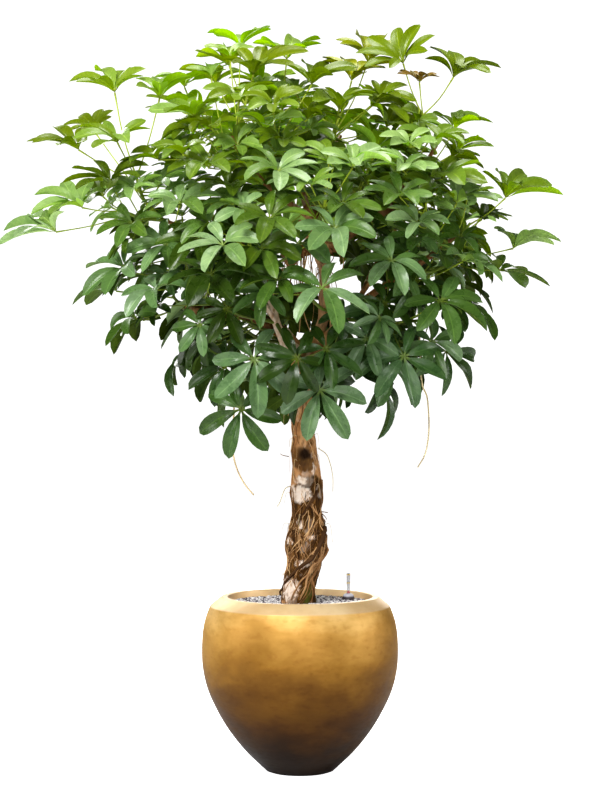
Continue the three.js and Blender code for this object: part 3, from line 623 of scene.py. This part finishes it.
def leaflet_pattern():
    """A flat leaflet as two sheets that meet at its rim: x across it from -1 to 1, y the
    number of the cross line, z -1 underneath."""
    lines = len(BLADE_ROWS) - 1
    bm = bmesh.new()
    chart = bm.loops.layers.uv.new("UVMap")
    ops.create_grid(bm, x_segments=4, y_segments=lines, size=0.5, calc_uvs=True)
    for vert in bm.verts:
        vert.co = (vert.co.x * 2, round((vert.co.y + 0.5) * lines), 0)
    for face in bm.faces:
        face.smooth = True
        for loop in face.loops:
            loop[chart].uv.y = BLADE_ROWS[round(loop.vert.co.y)]
    for vert in bm.verts:
        if vert.co.y > lines - 0.5:
            vert.co.x = 0
    back = ops.duplicate(bm, geom=bm.verts[:] + bm.edges[:] + bm.faces[:])["geom"]
    lower = [item for item in back if isinstance(item, bmesh.types.BMFace)]
    ops.reverse_faces(bm, faces=lower)
    for face in lower:
        face.material_index = 1
    for vert in verts_in(back):
        if abs(vert.co.x) < 0.9 and 0.5 < vert.co.y < lines - 0.5:
            vert.co.z = -1
    ops.remove_doubles(bm, verts=bm.verts, dist=1e-4)
    for edge in bm.edges:
        edge.smooth = len({face.material_index for face in edge.link_faces}) == 1
    return mesh_from("leaflet", bm)


def ring_round(vert):
    """The neighbours of a vertex, in turn."""
    following = {loop.link_loop_next.vert: loop.link_loop_prev.vert for loop in vert.link_loops}
    ring = [next(iter(following))]
    while len(ring) < len(following) and ring[-1] in following:
        ring.append(following[ring[-1]])
    return ring


def read_leaf(vert):
    """The leaf whose hub this is, with the points near it, or None. Every fourth point round
    a hub is a notch, close to it."""
    count = len(vert.link_edges)
    if count % 4 or count < 20:
        return None
    ring = ring_round(vert)
    for first in range(4):
        if all(abs((item.co - vert.co).length - NOTCH) < NOTCH_PLAY for item in ring[first::4]):
            break
    else:
        return None
    ring = ring[first:] + ring[:first]
    leaflets = [tuple(item.co.copy() for item in ring[k + 1:k + 4]) for k in range(0, count, 4)]
    up = Vector()
    for left, _, right in leaflets:
        up += (left - vert.co).cross(right - vert.co)
    up.normalize()
    inside = {vert, *ring}
    neck = {e.other_vert(v) for v in ring for e in v.link_edges} - inside
    ends = {e.other_vert(v) for v in neck for e in v.link_edges} - inside - neck
    middle, end = (middle_of([v.co for v in some]) for some in (neck, ends))
    root = end + (end - middle).normalized() * 0.003
    return Leaf(vert.co - up * HUB_RISE, up, leaflets, root), inside | neck


def read_shoot(node):
    """The leaves of a shoot, and the run of its stem from the bark to its tip."""
    bm = merged_copy(node)
    leaves = []
    taken = set()
    for vert in bm.verts:
        found = read_leaf(vert)
        if found:
            leaves.append(found[0])
            taken |= found[1]
    edges = [e for f in bm.faces if not taken & set(f.verts) for e in f.edges]
    verts = {v for e in edges for v in e.verts}
    middle = middle_of([v.co for v in verts])
    one = max(verts, key=lambda v: (v.co - middle).length).co
    other = max(verts, key=lambda v: (v.co - one).length).co
    if BARK_TREE.find_nearest(other)[3] < BARK_TREE.find_nearest(one)[3]:
        one, other = other, one
    axis = other - one
    path = []
    for share in (0.04, 0.25, 0.5, 0.75, 0.96):
        level = share * axis.length_squared
        crossing = []
        for edge in edges:
            a, b = ((v.co - one).dot(axis) - level for v in edge.verts)
            if a * b < 0:
                crossing.append(edge.verts[0].co.lerp(edge.verts[1].co, a / (a - b)))
        if crossing:
            path.append(middle_of(crossing))
    bm.free()
    first = path[0] + (path[0] - path[1]).normalized() * 0.022
    last = path[-1] + (path[-1] - path[-2]).normalized() * (0.04 * axis.length + 0.004)
    return leaves, [first, *path, last]


def grow_leaflet(bm, marks, hub, up, leaflet, sun, tone, young, draw):
    """One leaflet: a thin closed blade, folded along its midrib and arched, on its stalk."""
    left, tip, right = leaflet
    run = tip - hub
    length = run.length
    way = run / length
    side = (right - left) - way * (right - left).dot(way)
    half = side.length / 2 * WIDTH
    side.normalize()
    over = side.cross(way)
    if over.dot(up) < 0:
        over.negate()
    arch = length * draw.uniform(0.08, 0.21)
    fold = draw.uniform(0.34, 0.88)
    twist = draw.uniform(-0.8, 0.8)
    wave = draw.uniform(0.0004, 0.0014)
    phase = draw.uniform(0, 6.3)
    bend = length * draw.uniform(-0.05, 0.05)
    first = len(bm.verts)
    bm.from_mesh(LEAFLET)
    bm.verts.ensure_lookup_table()
    for vert in bm.verts[first:]:
        c, row, below = vert.co
        t = BLADE_ROWS[round(row)]
        wide = half * blade_width(t)
        blade = soft_step(0.06, 0.2, t)
        roll = twist * t
        lift = wide * (fold * abs(c) - 0.14 * c * c) * blade
        lift += wave * sin(9 * t + phase + (1.4 if c > 0 else 0)) * c * c * blade
        lift += below * mix(0.0022, 0.0007, blade) * (1 - abs(c))
        across = side * cos(roll) + over * sin(roll)
        above = over * cos(roll) - side * sin(roll)
        vert.co = (hub + run * t + over * (arch * 4 * t * (1 - t) * (1 - 0.35 * t))
                   + side * (bend * 4 * t * (1 - t)) + across * (wide * c) + above * lift)
        vert[marks.sun] = sun
        vert[marks.tone] = tone
        vert[marks.young] = young


def grow_leaf(bm, marks, leaf, stem, sun, draw):
    tone = draw.random()
    young = max((age for x, z, age in YOUNG
                 if hypot(leaf.hub.x - x, leaf.hub.z - z) < 0.008), default=0)
    for leaflet in leaf.leaflets:
        own = clamp(tone + draw.uniform(-0.2, 0.2))
        grow_leaflet(bm, marks, leaf.hub, leaf.up, leaflet, sun, own, young, draw)
    neck = leaf.hub - leaf.up * 0.0012
    root = min(stem, key=lambda point: (point - leaf.root).length)
    reach = neck - root
    sag = reach.cross(UP).cross(reach).normalized() * reach.length * draw.uniform(0.0, 0.05)
    path = curve_through([root, root.lerp(neck, 0.5) - sag, neck], 6)
    for vert in grow_tube(bm, path, STALK_RADII, 6, 2):
        # a stalk gets a little more painted light than its leaf
        vert[marks.sun] = min(1, sun + 0.15)
        vert[marks.tone] = tone


def crown_depth(point, half_width=0.6):
    """How far out a place is in the crown: 0 in its middle, 1 at its outside."""
    return Vector(((point.x + 0.03) / half_width, (point.y - 0.02) / 0.56,
                   (point.z - 1.42) / 0.5)).length


def light_at(point):
    """How much light and shade to paint on a leaf in the crown, from 0, deep and low, to 1, at
    the top.
    """
    out = crown_depth(point, 0.58)
    return clamp(0.92 * soft_step(0.95, 1.95, point.z) + 0.3 * (out - 0.85))


def fan_out(hub, root, up, count, length, droop, draw):
    """A leaf by rule: leaflets stand round the hub, and those beside the stalk are shorter."""
    along = (hub - root).normalized()
    across = along.cross(up).normalized()
    ahead = up.cross(across)
    spread = radians(325)
    leaflets = []
    for i in range(count):
        turn = spread * ((i + 0.5) / count - 0.5) + draw.uniform(-0.08, 0.08)
        reach = length * (1 - 0.34 * (0.5 - 0.5 * cos(turn))) * draw.uniform(0.88, 1.08)
        fall = droop + draw.uniform(-0.16, 0.16)
        way = ahead * cos(turn) - across * sin(turn)
        tip = hub + (way * cos(fall) - up * sin(fall)) * reach - UP * (0.05 * reach)
        side = ahead * -sin(turn) - across * cos(turn)
        side = side * (reach * 1.25 / max(count, 6.3))
        rib = hub.lerp(tip, 0.62) + up * (0.055 * reach)
        leaflets.append((rib - side, tip, rib + side))
    return Leaf(hub, up, leaflets, root)


def outline_of(leaf):
    """The arched leaf and its stalk in few faces, to see what they would meet."""
    low = leaf.root.lerp(leaf.hub, 0.3)
    corners = [leaf.hub, low, low + leaf.up.orthogonal().normalized() * 0.004]
    faces = [(0, 1, 2)]
    for left, tip, right in leaf.leaflets:
        k = len(corners)
        lift = leaf.up * (0.1 * (tip - leaf.hub).length)
        corners += [left + lift * 0.4, leaf.hub.lerp(tip, 0.5) + lift, right + lift * 0.4, tip]
        faces += [(0, k, k + 1), (0, k + 1, k + 2), (k, k + 3, k + 1), (k + 1, k + 3, k + 2)]
    return BVHTree.FromPolygons(corners, faces)


def outline_of_stem(run):
    aside = Vector((0.004, 0.004, 0.002))
    corners = [spot for point in run for spot in (point, point + aside)]
    faces = [(k, k + 1, k + 3, k + 2) for k in range(0, len(corners) - 2, 2)]
    return BVHTree.FromPolygons(corners, faces)


def shades_wood(point):
    """Whether a place stands before the wood that shows in front, or in the open low left."""
    if point.y < 0.06 and abs(point.x - 0.03) < 0.15 and point.z < 1.52:
        return True
    return point.x < -0.08 and point.z < 1.3 and point.y < 0.15


def inner_leaves(stem, draw):
    """More leaves along a stem, inside the crown, whose outlines meet no wood, stem or leaf."""
    found = []
    for _ in range(INNER_LEAVES * TRIES):
        if len(found) == INNER_LEAVES:
            break
        root = stem[draw.randint(8, STEM_STEPS)]
        way = Vector((draw.gauss(0, 1), draw.gauss(0, 1), draw.gauss(0.35, 0.8))).normalized()
        hub = root + way * draw.uniform(0.06, 0.15)
        if crown_depth(hub) > 0.86 or hub.z < 1.0 or shades_wood(hub):
            continue
        out = Vector((hub.x + 0.03, hub.y - 0.02, 0)).normalized()
        tilt = radians(mix(22, 62, soft_step(1.05, 1.75, hub.z)) + draw.uniform(-14, 14))
        up = out * cos(tilt) + UP * sin(tilt)
        up = (up + way * 0.3).normalized()
        droop = radians(mix(12, -20, soft_step(1.05, 1.7, hub.z)))
        count = draw.choice((6, 7, 7, 8))
        leaf = fan_out(hub, root, up, count, draw.uniform(0.085, 0.125), droop, draw)
        shape = outline_of(leaf)
        if any(shape.overlap(other) for other in woody):
            continue
        if any((spot - hub).length < NEAR and shape.overlap(other) for spot, other in grown):
            continue
        grown.append((hub, shape))
        found.append(leaf)
    return found


def leafy_shoot(node, leaves, run):
    """A shoot with its stem and its leaves."""
    draw = random.Random(int(node[-2:]) * 7 + 3)
    bm = bmesh.new()
    bm.loops.layers.uv.new("UVMap")
    marks = Marks(*(bm.verts.layers.float.new(key) for key in Marks._fields))
    stem = curve_through(run, STEM_STEPS)
    radii = [mix(0.0058, 0.0034, i / STEM_STEPS) + 0.0003 * sin(i * 2.1)
             for i in range(STEM_STEPS + 1)]
    tip_light = light_at(stem[-1])
    for vert in grow_tube(bm, stem, radii, 8, 2):
        # the stem gets a little less painted light than its tip
        vert[marks.sun] = 0.75 * tip_light
        vert[marks.tone] = 0.5
    for leaf in leaves + inner_leaves(stem, draw):
        # painted light and shade, set by the leaf's place in the crown
        sun = clamp(light_at(leaf.hub) + draw.uniform(-0.1, 0.1))
        grow_leaf(bm, marks, leaf, stem[4:], sun, draw)
    slot = nodes[node].data.materials[0].name
    piece("leafy_" + node, bm, [BLADE_TOP, BLADE_UNDER, STALK], slot, node)


LEAFLET = leaflet_pattern()
bark_copy = merged_copy("trunk")
BARK_TREE = BVHTree.FromBMesh(bark_copy)
bark_copy.free()
shoots = {name: read_shoot(name) for name in SHOOTS}
# what the inner leaves keep clear of
grown = [(leaf.hub, outline_of(leaf)) for leaves, _ in shoots.values() for leaf in leaves]
woody = [BARK_TREE, *(outline_of_stem(run) for _, run in shoots.values())]
for name in SHOOTS:
    leafy_shoot(name, *shoots[name])

# ---- trunk


def trunk_x(height):
    """The middle of the trunk in x, at a height."""
    if height <= TRUNK[0][0]:
        return TRUNK[0][1]
    for (low, a), (high, b) in zip(TRUNK, TRUNK[1:]):
        if height <= high:
            return mix(a, b, (height - low) / (high - low))
    return TRUNK[-1][1]


def bark_at(tree, height, way):
    """Where the bark is at a height, on one side of the trunk."""
    return tree.ray_cast(Vector((trunk_x(height), 0, height)) + way * 0.12, -way)[0]


def skin_of_trunk():
    """The trunk and limbs as one skin of even quads."""
    mesh = mesh_from("trunk_skin", merged_copy("trunk"))
    rough = add("trunk_skin", mesh)
    remesh = rough.modifiers.new("skin", "REMESH")
    remesh.mode = "VOXEL"
    remesh.voxel_size = SKIN_STEP
    shown = rough.evaluated_get(bpy.context.evaluated_depsgraph_get())
    done = bpy.data.meshes.new_from_object(shown)
    bpy.data.objects.remove(rough)
    bm = bmesh.new()
    bm.from_mesh(done)
    bpy.data.meshes.remove(done)
    bpy.data.meshes.remove(mesh)
    left = set(bm.verts)
    islands = []
    while left:
        front = [left.pop()]
        island = set(front)
        while front:
            near = {e.other_vert(v) for v in front for e in v.link_edges} & left
            left -= near
            island |= near
            front = list(near)
        islands.append(island)
    islands.sort(key=len)
    ops.delete(bm, geom=[v for island in islands[:-1] for v in island], context="VERTS")
    ops.smooth_vert(bm, verts=bm.verts, factor=0.6, use_axis_x=True, use_axis_y=True,
                    use_axis_z=True)
    bm.normal_update()
    return bm


def oval(point, x, z, wide, high):
    """How far out a place is in an oval on the front: 0 in its middle, 1 on its edge."""
    return hypot((point.x - x) / wide, (point.z - z) / high)


def bark_marks(p):
    """How pale, fibrous and mossy the bark is at a place, how much painted shade darkens it in
    the knot hole, and how deep it sinks.
    """
    stray = Vector([noise.noise(p * 60 + Vector(by)) for by in ((0, 0, 0), (9, 4, 1), (2, 8, 5))])
    q = p + stray * 0.006
    cloud = noise.fractal(p * 17 + Vector((3, 1, 7)), 0.8, 2.0, 4)
    speck = noise.fractal(p * 130, 0.8, 2.0, 3)
    spot = noise.fractal(Vector((p.x * 22, p.y * 22, p.z * 15)) + Vector((11, 5, 2)), 0.7, 2.0, 3)
    aside = p.x - trunk_x(min(p.z, 1.1))
    on_trunk = soft_step(1.13, 1.09, p.z)
    pale = soft_step(0.34, 0.46, spot) * (0.25 if p.y < 0 else 0.8)
    if p.y < 0:
        for x, z, wide, high in PALE_SPOTS:
            away = oval(q, x, z, wide, high)
            pale = max(pale, soft_step(1.15, 0.8, away + 0.35 * cloud + 0.3 * speck))
    fibres = (0.28 + 0.62 * soft_step(0.79, 0.7, p.z)
              + 0.34 * soft_step(-0.004, 0.022, aside) * soft_step(0.9, 0.78, p.z))
    fibres = soft_step(0.42, 0.72, fibres + 0.5 * cloud) * on_trunk
    if p.z > 1.09:
        left = p.x < -0.03 and p.z < 1.27 and p.y > -0.01
        fibres = 0.9 if left else 0.5 + 0.7 * cloud
        if p.y < 0.0 and -0.1 < p.x < 0.0 and p.z < 1.29:
            pale, fibres = 0.75, 0.0
        elif 0.04 < p.x < 0.085 and 1.17 < p.z < 1.36:
            pale, fibres = 0.12, 0.25 + 0.5 * cloud
    moss = (0.75 * soft_step(0.53, 0.455, p.z) * soft_step(0.0, 0.02, aside)
            * soft_step(-0.2, 0.2, cloud))
    knot = 9
    if p.y < 0:
        knot = oval(q, *KNOT, 0.024, 0.021)
        below = hypot((q.x - KNOT[0] + 0.003) / 0.036, (q.z - KNOT[1] + 0.012) / 0.04)
        fibres = max(fibres, 0.85 * soft_step(1.1, 0.7, below + 0.3 * cloud))
    sunk = exp(-knot * knot) - 0.3 * exp(-8 * (knot - 1.25) ** 2)
    # the fourth value is the painted shade in the knot hole
    return pale * (1 - moss), fibres, moss, soft_step(1.0, 0.45, knot), sunk


def lay_root(bm, tree, tone, start, turn, slope, length, radius, draw):
    """A thin root that runs down over the bark, pressed to it."""
    path = []
    steps = max(5, int(length / 0.009))
    height = start
    stray = draw.uniform(-9, 9)
    for i in range(steps + 1):
        way = round_about(turn)
        hit = bark_at(tree, height, way)
        if hit is None:
            break
        if hit.y < 0 and hypot(hit.x - KNOT[0], hit.z - KNOT[1]) < 0.017:
            break
        path.append(hit + way * radius * (0.5 + 0.5 * sin(i * 1.3 + start * 90)))
        stray = 0.8 * stray + draw.uniform(-9, 9)
        height -= length / steps
        turn += (slope + stray) * length / steps
    if len(path) < 4:
        return
    radii = [radius * mix(1.0, 0.35, (i / (len(path) - 1)) ** 2) for i in range(len(path))]
    shade = draw.uniform(0.0, 0.86)
    for vert in grow_tube(bm, path, radii, 5):
        vert[tone] = shade


def hang_root(bm, tone, points, radius, shade, steps=24):
    path = curve_through([Vector(p) for p in points], steps)
    radii = [radius * mix(1.0, 0.65, i / steps) for i in range(steps + 1)]
    for vert in grow_tube(bm, path, radii, 6):
        vert[tone] = shade


def root_mat(tree):
    """The net of roots on the trunk, the hanging roots, and the broken twigs."""
    draw = random.Random(21)
    between = draw.uniform
    bm = bmesh.new()
    tone = bm.verts.layers.float.new("tone")
    parts = []

    def next_part():  # tubes grow faster in a small body
        mesh = bpy.data.meshes.new("roots")
        bm.to_mesh(mesh)
        parts.append(mesh)
        bm.clear()
        return bm.verts.layers.float.new("tone")

    for start, turn, slope, length, radius in STRANDS:
        lay_root(bm, tree, tone, start, radians(turn), slope, length, radius, draw)
    for k in range(LOW_ROOTS):
        start = draw.triangular(0.5, 0.8, 0.66)
        turn = radians(between(0, 360))
        slope = draw.choice((-14, -11, -8, 3, 7)) * between(0.6, 1.3)
        lay_root(bm, tree, tone, start, turn, slope, between(0.05, 0.15),
                 between(0.0006, 0.0019), draw)
        if k % 20 == 19:
            tone = next_part()
    for _ in range(HIGH_ROOTS):
        lay_root(bm, tree, tone, between(0.8, 1.0), radians(between(0, 360)),
                 between(-6, 3), between(0.08, 0.2), between(0.0006, 0.0013), draw)
    tone = next_part()
    for x, z in [(between(-0.045, 0.1), between(1.32, 1.43)) for _ in range(FORK_ROOTS)]:
        at = tree.find_nearest(Vector((x, between(-0.05, 0.03), z)))[0]
        down = between(0.03, 0.16)
        drift = Vector((between(-0.012, 0.012), between(-0.012, 0.002), 0))
        points = [at, at + drift + UP * between(-0.01, 0.012)]
        for step in range(4):
            sway = Vector((between(-0.006, 0.006), between(-0.005, 0.004), 0))
            points.append(points[-1] + drift * (0.5 - 0.2 * step) + sway - UP * (down / 4))
        hang_root(bm, tone, points, between(0.0007, 0.0019), between(0.1, 0.8), 14)
    tone = next_part()
    for points, radius, shade in HANGING:
        hang_root(bm, tone, points, radius, shade)
    for _ in range(HAIRS):
        way = round_about(radians(between(0, 360)))
        hit = bark_at(tree, between(0.5, 1.0), way)
        out = between(0.006, 0.024)
        points = [hit - way * 0.002, hit + way * out * 0.7 + UP * 0.003,
                  hit + way * out - UP * between(0.01, 0.06)]
        hang_root(bm, tone, points, between(0.0005, 0.0008), between(0.7, 1.0), 7)
    for points, radius, shade in TWIGS:
        hang_root(bm, tone, points, radius, shade, 8)
    next_part()
    bm.free()
    bm = bmesh.new()
    for mesh in parts:
        bm.from_mesh(mesh)
        bpy.data.meshes.remove(mesh)
    piece("root_net", bm, [ROOT], "bark")


def grow_trunk():
    bm = skin_of_trunk()
    names = ("pale", "fibrous", "moss", "hollow_shade")
    layers = [bm.verts.layers.float.new(key) for key in names]
    moves = []
    for vert in bm.verts:
        p = vert.co
        thick = 1 - 0.6 * soft_step(1.02, 1.12, p.z)
        drawn_out = Vector((p.x * 42, p.y * 42, p.z * 15))
        ridges = noise.ridged_multi_fractal(drawn_out, 0.9, 2.1, 4, 1.0, 1.6)
        lumps = noise.noise(p * 24)
        *marks, sunk = bark_marks(p)
        rugged = 1 + 0.9 * marks[1]
        relief = thick * rugged * (0.0015 * (ridges - 1.1) + 0.003 * lumps)
        moves.append(vert.normal * (relief - 0.009 * sunk))
        for layer, value in zip(layers, marks):
            vert[layer] = value
    for vert, move in zip(bm.verts, moves):
        vert.co += move
    smooth(bm)
    bm.normal_update()
    tree = BVHTree.FromBMesh(bm)
    piece("trunk_and_limbs", bm, [BARK], "bark", "trunk")
    root_mat(tree)


grow_trunk()

# ---- planter, fill and gauge


def planter():
    bm = bmesh.new()
    side = curve_through([Vector((r, 0, z)) for r, z in POT_SIDE], 64)
    profile = [(0, 0), (POT_FOOT, 0), (0.09, 0.004), *((p.x, p.z) for p in side),
               (POT_RIM, POT_HEIGHT), (POT_MOUTH, POT_HEIGHT), (POT_MOUTH, POT_LIP),
               (POT_SHOULDER, POT_LIP), *POT_CAVITY, (POT_FOOT, POT_FLOOR), (0, POT_FLOOR)]
    spin(bm, profile, 0, 0, 144, closed=False)
    ops.recalc_face_normals(bm, faces=bm.faces)
    rims = (POT_SIDE[-1], (POT_RIM, POT_HEIGHT), (POT_MOUTH, POT_HEIGHT))

    def on_a_rim(vert):
        out = hypot(vert.co.x, vert.co.y)
        return min(hypot(out - r, vert.co.z - z) for r, z in rims) < 1e-4

    brims = [e for e in bm.edges if all(on_a_rim(v) for v in e.verts)
             and abs(e.verts[0].co.z - e.verts[1].co.z) < 1e-5 and e.calc_length() < 0.012]
    ops.bevel(bm, geom=brims, offset=0.0016, segments=3, profile=0.5, affect="EDGES", material=-1)
    smooth(bm, crease=0.6)
    piece("planter_shell", bm, [METAL], "planter", "planter")


def stones():
    """Loose stones on a flat bed, spread in the planter's mouth."""
    draw = random.Random(11)
    between = draw.uniform
    bm = bmesh.new()
    ops.create_icosphere(bm, subdivisions=1, radius=1)
    corners = len(bm.verts)
    pebble = mesh_from("pebble", bm)
    bm = bmesh.new()
    reach = POT_MOUTH - 0.0035
    spots = []
    for k in range(STONES):
        r = reach * sqrt((k + 0.5) / STONES)
        turn = k * GOLDEN
        nudge = Vector((between(-1, 1), between(-1, 1), 0)) * 0.0012
        spot = Vector((r * cos(turn), r * sin(turn), 0)) + nudge
        if spot.length > reach or any((spot - hole).length < wide for hole, wide in HOLES):
            continue
        spot.z = STONES_TOP + 0.0012 * noise.noise(spot * 30) + between(-0.0012, 0.0016)
        turned = Matrix.Rotation(between(0, 6.3), 4,
                                 (between(-1, 1), between(-1, 1), between(-1, 1)))
        size = Matrix.Diagonal((*(between(*STONE_SIZES) for _ in range(3)), 1))
        spots.append((Matrix.Translation(spot) @ turned @ size, draw.random()))
        bm.from_mesh(pebble)
    tint = bm.verts.layers.float.new("tint")
    for i, vert in enumerate(bm.verts):
        matrix, value = spots[i // corners]
        vert.co = matrix @ (vert.co * between(0.78, 1.12))
        vert[tint] = value
    bpy.data.meshes.remove(pebble)
    # the bed under the loose stones
    bed = ops.create_circle(bm, cap_ends=True, segments=96, radius=POT_MOUTH - 0.0006)["verts"]
    face = bed[0].link_faces[0]
    ops.translate(bm, verts=bed, vec=(0, 0, POT_LIP + 0.001))
    up = ops.extrude_face_region(bm, geom=[face])
    top = verts_in(up["geom"])
    ops.translate(bm, verts=top, vec=(0, 0, STONES_TOP - 0.0012 - POT_LIP - 0.001))
    ops.recalc_face_normals(bm, faces=list({f for v in bed + top for f in v.link_faces}))
    for vert in bed + top:
        vert[tint] = 0.0
    piece("granulate_stones", bm, [GRANULATE], "granulate", "granulate")


def gauge_piece(name, section, steps, finish, slot, node):
    bm = bmesh.new()
    spin(bm, section, GAUGE_X, GAUGE_Y, steps, closed=True)
    loose = [f for f in bm.faces if f.calc_area() < 1e-12]
    ops.delete(bm, geom=loose, context="FACES_ONLY")
    ops.recalc_face_normals(bm, faces=bm.faces)
    smooth(bm, crease=0.6)
    piece(name, bm, [finish], slot, node)


planter()
stones()
gauge_piece("gauge_clear_tube", TUBE_SIDE, 32, CLEAR, "clear", "gauge_tube")
gauge_piece("gauge_dome_collar", COLLAR_SIDE, 40, COLLAR, "collar", "gauge_collar")
gauge_piece("gauge_red_float", FLOAT_SIDE, 20, FLOAT, "float", "gauge_float")
soil = nodes["substrate"].data
soil.materials.clear()
soil.materials.append(SOIL)

# ---- floor, light and camera


def where_seen(tree, elsewhere, seen):
    """One value for what the light meets, and another for what the picture shows."""
    shown = place(tree, "LightPath").outputs["Is Camera Ray"]
    return span(shown, 0.0, 1.0, elsewhere, seen, kind="LINEAR")


def floor():
    bm = bmesh.new()
    ops.create_grid(bm, x_segments=1, y_segments=1, size=30)
    ops.translate(bm, verts=bm.verts, vec=(0, 0, -0.0005))
    mesh = mesh_from("floor", bm)
    finish, tree = new_finish("PaleFloor", Roughness=0.9, Specular_IOR_Level=0.1,
                              Emission_Color=(1, 1, 1, 1))
    cloud, _ = mottle(tree, 2, 5)
    white = ramp(cloud, [(0.3, (0.93, 0.93, 0.93)), (0.7, (0.95, 0.95, 0.95))])
    feed(finish, Base_Color=white, Emission_Strength=where_seen(tree, 0.0, 0.85))
    mesh.materials.append(finish)
    ground = add("floor", mesh)


def stand(name, data, spot, height):
    """A light or a camera at a spot, turned towards a height over the middle."""
    thing = add(name, data)
    thing.location = spot
    way = Vector((0, 0, height)) - Vector(spot)
    thing.rotation_euler = way.to_track_quat("-Z", "Y").to_euler()
    return thing


def softbox(name, spot, height, size, watts):
    light = bpy.data.lights.new(name, "AREA")
    light.shape = "DISK"
    light.size = size
    light.energy = watts
    stand(name, light, spot, height)


def studio():
    world = bpy.data.worlds.new("studio")
    world.use_nodes = True
    tree = world.node_tree
    tree.nodes.clear()
    sky = place(tree, "Background", {0: (1, 1, 1, 1), 1: where_seen(tree, 0.06, 1.0)})
    place(tree, "OutputWorld", {0: sky.outputs[0]})
    scene.world = world
    softbox("key", (-1.6, -3.4, 3.8), 1.0, 1.7, 175)
    softbox("front", (0.7, -4.6, 1.4), 0.9, 2.4, 66)
    softbox("left", (-3.8, -1.1, 1.3), 0.7, 1.6, 42)
    softbox("right", (3.9, -0.4, 1.3), 0.7, 1.6, 42)
    softbox("top", (0.3, 0.4, 4.2), 1.4, 1.6, 45)
    softbox("rim", (-1.8, 3.4, 2.6), 1.5, 1.8, 50)
    softbox("back", (0.7, 4.7, 1.5), 0.9, 2.4, 75)


def camera():
    lens = bpy.data.cameras.new("camera")
    lens.lens = 110.4
    lens.sensor_width = 36
    lens.clip_end = 100
    scene.camera = stand("camera", lens, (0, -6.5, 1.149), 0.987)


floor()
studio()
camera()
scene.view_settings.view_transform = "Standard"
scene.view_settings.look = "Medium High Contrast"
